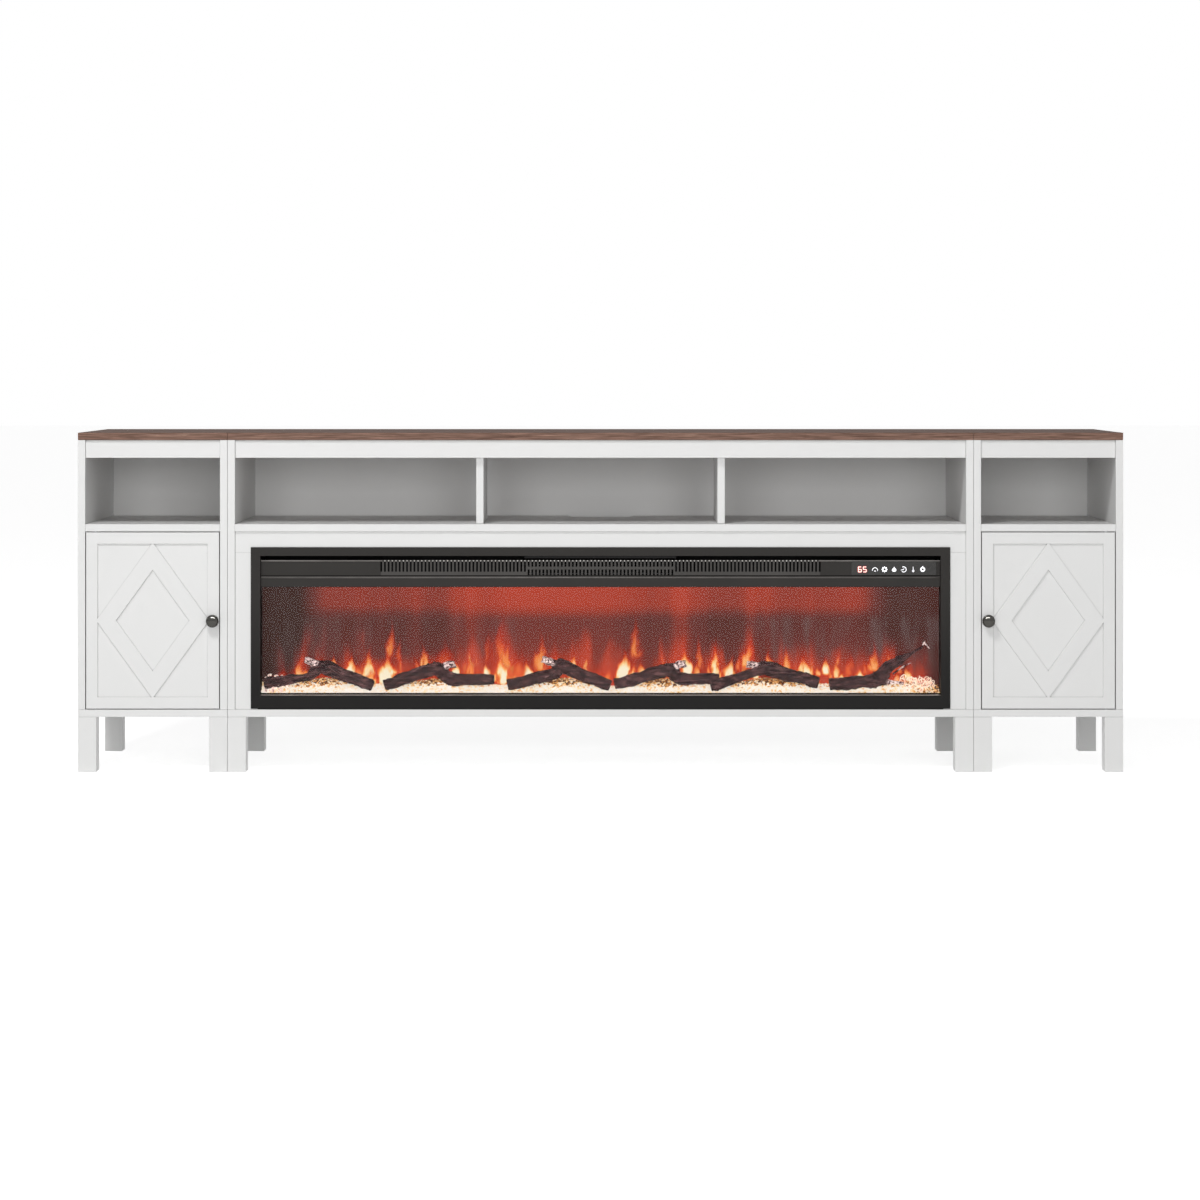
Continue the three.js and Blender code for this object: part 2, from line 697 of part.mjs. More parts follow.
// Outlet grille: a folded sheet with upright slots through its face and top fold
function outletGrille() {
  const faceDepth = grilleSetback;
  const section = sheetSection([
    new THREE.Vector2(faceDepth + grilleFlangeDepth, grilleTop),
    new THREE.Vector2(faceDepth, grilleTop),
    new THREE.Vector2(faceDepth, grilleBottom),
    new THREE.Vector2(faceDepth - noseProjection, bandTop),
    new THREE.Vector2(faceDepth - noseProjection, bandBottom),
  ], grilleSheet);
  const half = windowHalfWidth - grilleEndGap;
  const bar = alongWidth(section, -half, half);
  const slot = (x, high, height) => block(
    [x - slotWidth / 2, faceDepth - overrun, high - height],
    [x + slotWidth / 2, faceDepth + slotReach, high],
  );
  const tools = [];
  const openTop = grilleTop + overrun;
  for (const x of evenPlaces(slotFieldWidth, slotPitch)) {
    if (Math.abs(x) < centreFieldWidth / 2) {
      tools.push(slot(x, openTop, upperSlotHeight + overrun));
      tools.push(slot(x, grilleTop - upperSlotHeight - slotRowGap, lowerSlotHeight));
    } else {
      tools.push(slot(x, openTop, slotHeight + overrun));
    }
  }
  const boxInset = panelBoxInset - panelBoxClearance;
  const panelRight = windowHalfWidth - panelEndDistance;
  const panelMiddle = (grilleTop + grilleBottom) / 2;
  tools.push(block(
    [panelRight - panelWidth + boxInset, faceDepth - overrun, panelMiddle - panelHeight / 2 + boxInset],
    [panelRight - boxInset, faceDepth + slotReach, panelMiddle + panelHeight / 2 - boxInset],
  ));
  return cut(bar, tools);
}

// Control panel: a thin front plate on the grille, and its electronics box through the opening
function controlPanel() {
  const panelRight = windowHalfWidth - panelEndDistance;
  const panelMiddle = (grilleTop + grilleBottom) / 2;
  const plateRear = grilleSetback - seam;
  const low = panelMiddle - panelHeight / 2;
  const high = panelMiddle + panelHeight / 2;
  return join([
    block([panelRight - panelWidth, plateRear - panelThickness, low], [panelRight, plateRear, high]),
    block(
      [panelRight - panelWidth + panelBoxInset, plateRear - panelThickness / 2, low + panelBoxInset],
      [panelRight - panelBoxInset, plateRear + panelBoxDepth, high - panelBoxInset],
    ),
  ]);
}

function glassPane() {
  const half = chamberHalfWidth - glassSideGap;
  const low = [-half, glassFront, windowBottom - glassBottomLap];
  return block(low, [half, glassRear, bandBottom + glassTopLap]);
}

function flameScreen() {
  const half = chamberHalfWidth - glassSideGap;
  const low = [-half, screenFront, chamberFloor + seam];
  return block(low, [half, screenRear, chamberCeiling - seam]);
}

// A tapered branch through points, with a bark-like swell: each point is [x, y, z, radius]
function branch(points, sides) {
  const curve = new THREE.CatmullRomCurve3(points.map((point) => new THREE.Vector3(point[0], point[1], point[2])));
  const steps = 2 * (points.length - 1);
  const swellShare = 0.07;
  const positions = [];
  const rings = [];
  for (let step = 0; step <= steps; step += 1) {
    const t = step / steps;
    const centre = curve.getPoint(t);
    const tangent = curve.getTangent(t);
    const across = new THREE.Vector3(0, 1, 0).cross(tangent).normalize();
    const over = new THREE.Vector3().crossVectors(tangent, across);
    const at = Math.min(Math.floor(step / 2), points.length - 2);
    const radius = THREE.MathUtils.lerp(points[at][3], points[at + 1][3], step / 2 - at);
    rings.push(Array.from({ length: sides }, (_, side) => {
      const angle = 2 * Math.PI * side / sides;
      const reach = radius * (1 + swellShare * Math.sin(3 * angle + 2 * step));
      const outward = across.clone().multiplyScalar(Math.cos(angle)).addScaledVector(over, Math.sin(angle));
      return centre.clone().addScaledVector(outward, reach);
    }));
  }
  const triangle = (a, b, c) => positions.push(...a.toArray(), ...b.toArray(), ...c.toArray());
  const first = curve.getPoint(0);
  const last = curve.getPoint(1);
  for (let side = 0; side < sides; side += 1) {
    const next = (side + 1) % sides;
    triangle(first, rings[0][next], rings[0][side]);
    triangle(last, rings[steps][side], rings[steps][next]);
    for (let step = 0; step < steps; step += 1) {
      triangle(rings[step][side], rings[step][next], rings[step + 1][next]);
      triangle(rings[step][side], rings[step + 1][next], rings[step + 1][side]);
    }
  }
  const geometry = new THREE.BufferGeometry();
  geometry.setAttribute('position', new THREE.Float32BufferAttribute(positions, 3));
  return geometry;
}

// Logs, by hand: places across as shares of half the window, up as shares of the log rise,
// depth as shares of the bed and thickness as shares of the log radius
const logShares = [
  [[-0.985, 0.05, 0.3, 0.9], [-0.915, 0.14, 0.32, 0.95], [-0.85, 0.23, 0.36, 1], [-0.822, 0.4, 0.4, 1.15],
    [-0.745, 0.2, 0.36, 1], [-0.672, 0.0, 0.3, 0.95]],
  [[-0.638, 0.0, 0.34, 0.95], [-0.57, 0.18, 0.38, 1], [-0.5, 0.35, 0.42, 1.1], [-0.476, 0.34, 0.44, 1.1],
    [-0.432, 0.14, 0.44, 1], [-0.314, 0.14, 0.4, 0.8]],
  [[-0.275, 0.03, 0.3, 0.9], [-0.205, 0.14, 0.34, 0.95], [-0.139, 0.27, 0.38, 1], [-0.113, 0.42, 0.4, 1.15],
    [-0.04, 0.2, 0.36, 1], [0.029, 0.0, 0.3, 0.95]],
  [[0.041, 0.03, 0.42, 0.9], [0.115, 0.17, 0.42, 1], [0.192, 0.34, 0.44, 1.1], [0.212, 0.32, 0.44, 1.1],
    [0.245, 0.14, 0.5, 1], [0.351, 0.16, 0.56, 0.8]],
  [[0.325, 0.0, 0.28, 0.9], [0.354, 0.05, 0.3, 0.95], [0.451, 0.27, 0.36, 1], [0.489, 0.38, 0.4, 1.15],
    [0.57, 0.22, 0.36, 1], [0.644, 0.07, 0.32, 0.95]],
  [[0.676, 0.0, 0.36, 0.95], [0.747, 0.05, 0.38, 1], [0.794, 0.1, 0.4, 1.1], [0.823, 0.16, 0.42, 1.3],
    [0.844, 0.4, 0.46, 1.05], [0.882, 0.62, 0.5, 0.95], [0.918, 0.84, 0.55, 0.8], [0.949, 1, 0.6, 0.55]],
];

// Short broken twigs on the logs, written in the same shares
const twigShares = [
  [[-0.822, 0.42, 0.4, 0.7], [-0.845, 0.5, 0.36, 0.5], [-0.869, 0.57, 0.32, 0.45]],
  [[-0.476, 0.38, 0.44, 0.7], [-0.454, 0.44, 0.42, 0.5], [-0.432, 0.47, 0.4, 0.45]],
  [[-0.118, 0.44, 0.4, 0.7], [-0.145, 0.52, 0.36, 0.5], [-0.169, 0.58, 0.32, 0.45]],
  [[0.212, 0.36, 0.44, 0.7], [0.228, 0.43, 0.42, 0.5], [0.245, 0.47, 0.4, 0.45]],
  [[0.482, 0.4, 0.4, 0.7], [0.455, 0.45, 0.36, 0.5], [0.434, 0.47, 0.32, 0.45]],
  [[0.9, 0.74, 0.52, 0.5], [0.935, 0.78, 0.5, 0.35], [0.966, 0.83, 0.48, 0.25]],
  [[0.823, 0.1, 0.42, 0.8], [0.856, 0.06, 0.34, 0.5], [0.89, 0.05, 0.3, 0.4]],
];

// Top of the ember bed: places across as shares of half the window, height as shares of the mound
const bedShares = [
  [-1, 0.4], [-0.93, 0.25], [-0.87, 0.7], [-0.82, 1], [-0.76, 0.7], [-0.68, 0.1], [-0.62, 0.15],
  [-0.55, 0.65], [-0.49, 0.9], [-0.42, 0.5], [-0.33, 0.25], [-0.27, 0.2], [-0.18, 0.6], [-0.11, 1],
  [-0.04, 0.65], [0.03, 0.1], [0.1, 0.45], [0.2, 0.9], [0.27, 0.5], [0.34, 0.2], [0.42, 0.65],
  [0.49, 1], [0.57, 0.65], [0.65, 0.25], [0.74, 0.3], [0.83, 0.6], [0.91, 0.95], [1, 0.8],
];

// Ember tray with its bed, and the logs moulded onto it
function logSet() {
  const bedHalf = chamberHalfWidth - glassSideGap;
  const bedBase = windowBottom + bedLevel;
  const outline = [new THREE.Vector2(bedHalf, bedBase - bedCrust), new THREE.Vector2(-bedHalf, bedBase - bedCrust)];
  outline.reverse();
  for (const [across, up] of [...bedShares].reverse()) {
    outline.push(new THREE.Vector2(across * bedHalf, bedBase + up * moundHeight));
  }
  const bed = alongDepth(new THREE.Shape(outline), bedFront - trayThickness / 2, bedRear);

  const floor = chamberFloor + seam;
  const sillTop = windowBottom + sillHeight;
  const sill = block([-bedHalf, trayFront, floor], [bedHalf, bedFront, sillTop]);
  const rearWall = block([-bedHalf, bedRear - trayThickness, floor], [bedHalf, bedRear, bedBase - bedCrust / 2]);

  const place = ([across, up, back, thick]) => [
    across * windowHalfWidth,
    bedFront + back * bedDepth,
    bedBase + logRadius / 2 + up * logRise,
    thick * logRadius,
  ];
  const logs = logShares.map((log) => branch(log.map(place), 8));
  const twigs = twigShares.map((twig) => branch(twig.map(place), 6));
  const stubs = logShares.map((log) => {
    const [x, y, z, radius] = place(log[3]);
    return rod(radius / 2, [x, y, bedBase - logBuriedDepth], [x, y, z], 6);
  });
  return join([bed, sill, rearWall, ...logs, ...twigs, ...stubs]);
}

const spindleMotorFace = chamberHalfWidth - seam - spindleMotorLength;

// Flame spindle: a shaft with crossed reflector petals, each turned on from the last
function flameSpindle() {
  const from = -chamberHalfWidth + bearingWall + spindleClearance;
  const to = spindleMotorFace - spindleHubLength + spindleSeatDepth - spindleClearance;
  const shaft = rod(spindleRadius, [from, 0, 0], [to, 0, 0], 8);
  const petalTurn = 40;
  const reach = petalReach;
  const field = 2 * (spindleMotorFace - spindleHubLength - petalPitch);
  const petals = evenPlaces(field, petalPitch).map((x, index) => {
    const petal = block([-petalWidth / 2, -reach, -petalThickness / 2], [petalWidth / 2, reach, petalThickness / 2]);
    petal.rotateX(THREE.MathUtils.degToRad(index * petalTurn));
    return petal.translate(x, 0, 0);
  });
  return join([shaft, ...petals]);
}

// Geared motor that turns the spindle, flat on the right wall of the casing
function spindleMotor() {
  const body = rod(spindleMotorRadius, [spindleMotorFace, 0, 0], [chamberHalfWidth - seam, 0, 0], 24);
  const hub = rod(spindleHubRadius, [spindleMotorFace - spindleHubLength, 0, 0], [spindleMotorFace + seam, 0, 0], 16);
  const boreEnd = spindleMotorFace - spindleHubLength + spindleSeatDepth;
  const bore = rod(
    spindleRadius + spindleClearance,
    [spindleMotorFace - spindleHubLength - overrun, 0, 0],
    [boreEnd, 0, 0],
    12,
  );
  return cut(join([body, hub]), [bore]);
}

// Blower wheel: curved blades between discs, on a shaft, centred on its axis
function blowerWheel() {
  const origin = new THREE.Vector2(0, 0);
  const midRadius = (bladeInnerRadius + blowerRadius) / 2;
  const leadAngle = THREE.MathUtils.radToDeg(bladeLead / blowerRadius);
  const bladeReach = blowerRadius - bladeThickness / 2;
  const section = sheetSection([
    polar(origin, bladeReach, leadAngle),
    polar(origin, midRadius, -leadAngle / 2),
    polar(origin, bladeInnerRadius, 0),
  ], bladeThickness);
  const half = wheelDiscThickness / 2;
  const parts = [];
  for (let index = 0; index < bladeCount; index += 1) {
    const blade = alongWidth(section, half - blowerHalfLength, blowerHalfLength - half);
    parts.push(blade.rotateX(2 * Math.PI * index / bladeCount));
  }
  for (const x of [-blowerHalfLength + half, 0, blowerHalfLength - half]) {
    parts.push(rod(blowerRadius, [x - half, 0, 0], [x + half, 0, 0], bladeCount));
  }
  const reach = housingHalfWidth + wheelShaftReach;
  parts.push(rod(wheelShaftRadius, [-reach, 0, 0], [reach, 0, 0], 12));
  for (const side of [-1, 1]) {
    const hubFrom = [side * (blowerHalfLength - half), 0, 0];
    parts.push(rod(blowerHubRadius, hubFrom, [side * (blowerHalfLength - half - blowerHubRadius), 0, 0], 12));
  }
  return join(parts);
}

// Blower housing: the scroll behind the wheel, the duct to the grille, two end plates and the motor
function blowerHousing() {
  const centre = new THREE.Vector2(blowerSetback, blowerLevel);
  const scrollStart = 60;
  const scrollEnd = -100;
  const scrollSteps = 10;
  const scroll = Array.from({ length: scrollSteps + 1 }, (_, step) => {
    const t = step / scrollSteps;
    const radius = blowerRadius + scrollGap + t * scrollGrowth;
    return polar(centre, radius, THREE.MathUtils.lerp(scrollStart, scrollEnd, t));
  });
  scroll.push(new THREE.Vector2(ductRampStart, ductFloor));
  scroll.push(new THREE.Vector2(grilleSetback + grilleSheet + ductFrontGap, ductFloor));

  const tongueAngle = 140;
  const tongue = [
    new THREE.Vector2(ductLipSetback, windowTop - ductLipGap),
    new THREE.Vector2(ductLipSetback, ductTop),
    new THREE.Vector2(ductLipSetback + ductTopLength, ductTop),
    polar(centre, blowerRadius + tongueGap, tongueAngle),
  ];
  const half = housingHalfWidth;
  const parts = [
    alongWidth(sheetSection(scroll, housingSheet), -half, half),
    alongWidth(sheetSection(tongue, housingSheet), -half, half),
  ];
  const plateBottom = chamberCeiling + casingSheet + housingPlateGap;
  for (const side of [-1, 1]) {
    const inner = side * (half - housingEndThickness);
    const low = [inner, housingPlateFront, plateBottom];
    parts.push(block(low, [side * half, housingPlateRear, ductTop + housingSheet]));
  }
  const motorEnd = half + blowerMotorLength;
  const motorFrom = [half - housingEndThickness / 2, blowerSetback, blowerLevel];
  parts.push(rod(blowerMotorRadius, motorFrom, [motorEnd, blowerSetback, blowerLevel], 20));
  const bearingTo = [-half - wheelShaftReach - overrun, blowerSetback, blowerLevel];
  parts.push(rod(bearingRadius, [housingEndThickness / 2 - half, blowerSetback, blowerLevel], bearingTo, 16));
  const shaftHole = rod(
    wheelShaftRadius + spindleClearance,
    [-half - wheelShaftReach - overrun - overrun, blowerSetback, blowerLevel],
    [half + blowerMotorSeat, blowerSetback, blowerLevel],
    12,
  );
  return cut(join(parts), [shaftHole]);
}

// Heater: upright fins on two long bars, across the duct
function heaterElement() {
  const reach = housingHalfWidth - housingEndThickness - heaterEndGap;
  const low = ductFloor + heaterGap;
  const high = ductTop - heaterGap;
  const rear = heaterSetback + heaterDepth;
  const barFront = heaterSetback + (heaterDepth - heaterBarDepth) / 2;
  const quarter = (high - low) / 4;
  const parts = [low + quarter, high - quarter].map((middle) => block(
    [-reach, barFront, middle - heaterBarHeight / 2],
    [reach, barFront + heaterBarDepth, middle + heaterBarHeight / 2],
  ));
  for (const x of evenPlaces(2 * (reach - finPitch), finPitch)) {
    parts.push(block([x - finThickness / 2, heaterSetback, low], [x + finThickness / 2, rear, high]));
  }
  return join(parts);
}

function fire() {
  const group = new THREE.Group();
  const add = (part, geometry, material, depth = 0, level = 0) => {
    const mesh = piece(`fire_${part}`, geometry, material);
    mesh.position.set(0, depth, level);
    group.add(mesh);
  };
  add('trim_frame', trimFrame(), blackEnamel);
  add('casing', casing(), blackSteel);
  add('outlet_grille', outletGrille(), blackEnamel);
  add('control_panel', controlPanel(), blackGloss);
  add('glass', glassPane(), fireGlass);
  add('flame_screen', flameScreen(), smokedAcrylic);
  add('log_set', logSet(), charredResin);
  add('flame_spindle', flameSpindle(), foilReflector, spindleDepth, spindleLevel);
  add('spindle_motor', spindleMotor(), motorPlate, spindleDepth, spindleLevel);
  add('blower_wheel', blowerWheel(), galvanised, blowerSetback, blowerLevel);
  add('blower_housing', blowerHousing(), blackSteel);
  add('heater_element', heaterElement(), heaterCeramic);
  return group;
}

const stand = new THREE.Group();
stand.add(sideCabinet('left_cabinet', -1));
stand.add(sideCabinet('right_cabinet', 1));
stand.add(door('left_door', -1));
stand.add(door('right_door', 1));
stand.add(console());
stand.add(fire());
stand.position.y = (knobProjection - cabinetDepth) / 2;

export default stand;
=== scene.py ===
"""Fireplace television stand: its finishes, its fire and a plain studio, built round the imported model."""
import json
import math
import random

import bmesh
import bpy
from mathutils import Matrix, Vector, noise


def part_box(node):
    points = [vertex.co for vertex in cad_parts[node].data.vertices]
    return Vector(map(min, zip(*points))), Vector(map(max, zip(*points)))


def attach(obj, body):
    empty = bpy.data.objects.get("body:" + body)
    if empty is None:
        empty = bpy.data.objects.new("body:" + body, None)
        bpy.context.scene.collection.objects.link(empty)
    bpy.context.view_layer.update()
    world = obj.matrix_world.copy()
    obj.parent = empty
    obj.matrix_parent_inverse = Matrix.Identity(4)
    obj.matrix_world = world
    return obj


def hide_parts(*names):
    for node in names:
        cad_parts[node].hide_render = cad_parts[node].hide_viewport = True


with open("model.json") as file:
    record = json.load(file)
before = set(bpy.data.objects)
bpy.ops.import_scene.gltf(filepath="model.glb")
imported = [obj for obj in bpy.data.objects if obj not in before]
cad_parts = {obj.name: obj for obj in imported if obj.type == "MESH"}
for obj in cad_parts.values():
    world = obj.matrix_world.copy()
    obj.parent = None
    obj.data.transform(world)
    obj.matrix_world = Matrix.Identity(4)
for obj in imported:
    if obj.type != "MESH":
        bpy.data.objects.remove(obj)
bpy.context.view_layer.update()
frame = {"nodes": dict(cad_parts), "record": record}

bl_info = {
    "name": "Fireplace television stand",
    "version": (1, 0, 0),
    "blender": (4, 5, 0),
    "location": "3D View > Sidebar > Stand",
    "description": "Dresses the packed stand with lacquer, woodgrain, a lit fire and a studio",
    "category": "Object",
}

MM = 0.001
FRONT = -0.1875  # front plane of the cabinets
SLOTS = {part["node"]: part["material_slot"] for part in frame["record"]["subparts"]}
BODIES = {node: body for body, nodes in frame["record"]["behaviour"]["bodies"].items() for node in nodes}

# Fire sizes that the pieces share, in millimetres: heights from the floor, depths from the front plane
WINDOW_HALF = 742.5
BED_HALF = 745.7
BED_BASE = 177.7
BED_FRONT = 18.4
BED_DEPTH = 52.0
MOUND = 20.0
LOG_RADIUS = 12.5
LOG_RISE = 100.0
SCREEN_FRONT = 71.4
PANEL_RIGHT = 733.0
PANEL_MARKS = 441.2
PANEL_FACE = 9.6
GRILLE_TOP = 461.0
GRILLE_FACE = 11.0
GRILLE_HALF = 742.0
SLOT_PITCH = 8.05
SLOT_COUNT = 119
SLOT_WIDTH = 4.0
CASING_REAR = 145.0


def linear(shade, dim=1.0):
    """An sRGB hex code, a level of grey or a linear colour as a linear colour, dimmed where asked."""
    if isinstance(shade, str):
        shares = [int(shade[place:place + 2], 16) / 255 for place in (1, 3, 5)]
        shade = [s / 12.92 if s <= 0.04045 else ((s + 0.055) / 1.055) ** 2.4 for s in shares]
    elif isinstance(shade, float):
        shade = [shade] * 3
    return tuple(dim * part for part in shade[:3]) + (1.0,)


def place(across, depth, height):
    """Millimetres across, behind the front plane and above the floor, as a point of the frame."""
    return Vector((across * MM, FRONT + depth * MM, height * MM))


def tint(name, description, code):
    """A colour that a user may change."""
    return bpy.props.FloatVectorProperty(
        name=name, description=description, subtype="COLOR", size=4, min=0, max=1, default=linear(code))


def amount(name, description, default, unit="NONE"):
    """A strength or a length that a user may change."""
    return bpy.props.FloatProperty(name=name, description=description, unit=unit, min=0, default=default)


class StandFinishes(bpy.types.PropertyGroup):
    """Colours of the cabinets and their fittings."""

    lacquer: tint("Lacquer", "Satin white lacquer on every board", "#e9e9e8")
    walnut: tint("Woodgrain", "Middle tone of the woodgrain foil on the top boards", "#735a4f")
    walnut_dark: tint("Woodgrain, dark", "Dark streaks of the woodgrain foil", "#4a3832")
    walnut_pale: tint("Woodgrain, pale", "Pale streaks of the woodgrain foil", "#947b6d")
    enamel: tint("Powder coat", "Black powder coat of the fire's trim", "#2e2c2a")
    knob: tint("Knob plating", "Dark gunmetal plating of the knobs", "#4c4b48")
    edge_round: amount("Edge rounding", "Rounding of the lacquered board edges", 0.7 * MM, "LENGTH")


class StandFire(bpy.types.PropertyGroup):
    """The lit fire: ember bed, logs and flames."""

    stone_size: amount("Stone size", "Radius of a middling ember stone", 1.8 * MM, "LENGTH")
    stone_spacing: amount("Stone spacing", "Least distance between two ember stones", 3.05 * MM, "LENGTH")
    ember_strength: amount("Ember light", "Strength of the light that the ember bed gives", 1.0)
    flame_strength: amount("Flame light", "Strength of the flames", 1.0)
    glow_strength: amount("Screen glow", "Strength of the red glow on the flame screen", 1.0)
    seed: bpy.props.IntProperty(name="Seed", description="Seed of the scattered stones", default=7)


class StandStudio(bpy.types.PropertyGroup):
    """Camera, lamps and floor."""

    distance: amount("Camera distance", "From the front plane of the cabinets", 6.577, "LENGTH")
    height: amount("Camera height", "Above the floor", 0.8789, "LENGTH")
    focal: amount("Focal length", "For a sensor 36 mm wide", 90.47, "CAMERA")
    horizon: amount("Horizon", "Height of the horizon in the picture, in pixels of 1200", 369.0)
    sky: amount("Sky", "Strength of the even light", 0.28)
    fill: amount("Front lamp", "Power of the wide lamp in front", 118)
    key: amount("Top lamp", "Power of the soft lamp above", 100)
    card: amount("Gloss card", "Power of the card that only reflections show", 560)


# Nodes and finishes

BLEND = {"data_type": "RGBA"}  # Mix of two colours, on its sockets 6 and 7
LAID = {"data_type": "RGBA", "blend_type": "MULTIPLY"}  # the second colour laid over the first


def add(tree, kind, inputs=None, out=None, stops=(), **settings):
    """Adds a node with its settings, colour stops, values and links, and gives the output that leads on."""
    node = tree.nodes.new(kind if "Node" in kind else tree.bl_idname.removesuffix("Tree") + kind)
    for name, value in settings.items():
        setattr(node, name, value)
    for _ in stops[2:]:
        node.color_ramp.elements.new(0.5)
    for index, (where, shade) in enumerate(stops):
        element = node.color_ramp.elements[index]
        element.position, element.color = where, linear(shade)
    for socket, value in (inputs or {}).items():
        if isinstance(value, bpy.types.NodeSocket):
            tree.links.new(value, node.inputs[socket])
        else:
            node.inputs[socket].default_value = linear(value) if isinstance(value, str) else value
    return node.outputs[out] if out else next((socket for socket in node.outputs if socket.enabled), None)


def patch(tree, *masks, ease="SMOOTHSTEP"):
    """Product of masks; a mask (value, start, end, high, low) runs from low at start to high at end."""
    titles = ("Value", "From Min", "From Max", "To Max", "To Min")
    level = None
    for mask in masks:
        if isinstance(mask, tuple):
            mask = add(tree, "MapRange", dict(zip(titles, mask)), interpolation_type=ease)
        level = mask if level is None else add(tree, "Math", {0: level, 1: mask}, operation="MULTIPLY")
    return level


def total(tree, *parts):
    """Sum of parts, each given with its weight."""
    level = 0.0
    for part, weight in parts:
        level = add(tree, "Math", {0: part, 1: weight, 2: level}, operation="MULTIPLY_ADD")
    return level


def seen_directly(tree):
    """1 for what the camera, a glossy surface or glass sees straight away, to give it a white backdrop."""
    rays = add(tree, "LightPath").node.outputs
    seen = rays["Is Camera Ray"]
    for kind in ("Is Glossy Ray", "Is Transmission Ray"):
        seen = add(tree, "Math", {0: seen, 1: rays[kind]}, operation="MAXIMUM")
    return seen


def begin(material):
    """The cleared tree of a finish, and the coordinates of the object that it is on."""
    material.use_nodes = True
    material.node_tree.nodes.clear()
    return material.node_tree, add(material.node_tree, "TexCoord", out="Object")


def coat(tree, **sockets):
    """Ends a finish with its surface, whose sockets take values or links."""
    shader = add(tree, "BsdfPrincipled", {name.replace("_", " "): value for name, value in sockets.items()})
    add(tree, "OutputMaterial", {"Surface": shader})


def plain_finish(material, scale, detail=2.0, stops=(), rough=(), bump=(), onto="Base_Color", **sockets):
    """A finish with one cloud of noise, which tints it, breaks up its gloss or raises it."""
    tree, position = begin(material)
    cloud = add(tree, "TexNoise", {
        "Vector": add(tree, "Mapping", {"Vector": position, "Scale": scale}), "Scale": 1.0, "Detail": detail})
    if stops:
        sockets[onto] = add(tree, "ValToRGB", {0: cloud}, stops=stops)
    if rough:
        sockets["Roughness"] = add(tree, "MapRange", {"Value": cloud, "To Min": rough[0], "To Max": rough[1]})
    if bump:
        sockets["Normal"] = add(tree, "Bump", {"Height": cloud, "Strength": bump[0], "Distance": bump[1]})
    coat(tree, **sockets)


def satin_white_lacquer(material):
    """Sprayed lacquer on fibreboard: even and pale, with a faint orange peel that breaks up its sheen."""
    tree, position = begin(material)
    lacquer = bpy.context.scene.stand_finishes.lacquer
    cloud = add(tree, "TexNoise", {"Vector": position, "Scale": 4.0, "Detail": 3.0})
    colour = add(tree, "Mix", {0: cloud, 6: lacquer, 7: linear(lacquer, 0.965)}, **BLEND)
    # Painted shade: the colour is darker in the inner corners, within 3 mm, where they are occluded
    corner_occlusion = add(tree, "AmbientOcclusion", {"Distance": 3 * MM}, "AO", samples=8)
    painted_corner_shade = add(tree, "ValToRGB", {0: corner_occlusion}, stops=[(0.35, 0.64), (0.8, 1.0)])
    # Orange peel has waves of 1 to 3 mm
    peel = add(tree, "TexNoise", {"Vector": position, "Scale": 1 / (2.2 * MM), "Detail": 1.0})
    coat(tree, Roughness=0.42, IOR=1.5,
         Base_Color=add(tree, "Mix", {0: 1.0, 6: colour, 7: painted_corner_shade}, **LAID),
         Normal=add(tree, "Bump", {"Height": peel, "Strength": 0.12, "Distance": 0.05 * MM}))


def walnut_print_foil(material, tone=0.72, depth=0.0, finer=1.0):
    """Printed woodgrain foil: streaks along the stand, fine fibre, short dark pores and a low satin sheen."""
    tree, position = begin(material)
    finishes = bpy.context.scene.stand_finishes
    dark, middle, pale = (
        linear(colour, tone) for colour in (finishes.walnut_dark, finishes.walnut, finishes.walnut_pale))
    # Streaks about 18 mm apart and half a metre long, fibre 2 mm apart, and pores 0.7 mm wide and 25 mm long
    streaks, fibre, pores = (
        add(tree, "TexNoise", {
            "Vector": add(tree, "Mapping", {"Vector": position, "Scale": scale}),
            "Scale": zoom, "Detail": detail, "Roughness": rough, "Distortion": warp})
        for scale, zoom, detail, rough, warp in (
            ((2.6, 70, 70), finer, 7.0, 0.66, 0.9), ((14, 480, 480), 1.0, 3.0, 0.5, 0.0),
            ((40, 1400, 1400), 1.0, 2.0, 0.5, 0.0)))
    colour = add(tree, "ValToRGB", {0: streaks}, stops=[
        (0.30, dark), (0.46, middle), (0.58, middle), (0.70, pale)])
    fine = add(tree, "ValToRGB", {0: fibre}, stops=[(0.3, 0.78 - depth), (0.7, 1.12 + depth)])
    toned = add(tree, "Mix", {0: 1.0, 6: colour, 7: fine}, **LAID)
    pits = add(tree, "ValToRGB", {0: pores}, stops=[(0.62, 1.0), (0.70, 0.55)])
    coat(tree, Roughness=0.6, IOR=1.45, Specular_IOR_Level=0.05,
         Base_Color=add(tree, "Mix", {0: 0.8, 6: toned, 7: pits}, **LAID),
         Normal=add(tree, "Bump", {"Height": pits, "Strength": 0.25, "Distance": 0.1 * MM}))


def lit_walnut_edge_band(material):
    """Edge band of the same woodgrain, a little paler and finer than the face of the board; the paler tone is
    partly the band's own and partly painted light on the upright edges.
    """
    walnut_print_foil(material, 1.38, 0.32, 2.3)


def gunmetal_plating(material):
    """Polished dark nickel plating: a grey metal whose reflections have soft edges."""
    plain_finish(material, (1 / (3 * MM),) * 3, 3.0, rough=(0.1, 0.18), Metallic=1.0,
                 Base_Color=bpy.context.scene.stand_finishes.knob)


def zinc_plate(material):
    """Zinc-plated steel: a bright grey metal with fine turning marks."""
    plain_finish(material, (400, 400, 3000), bump=(0.2, 0.02 * MM), Metallic=1.0, Base_Color="#b4b6b8",
                 Roughness=0.34)


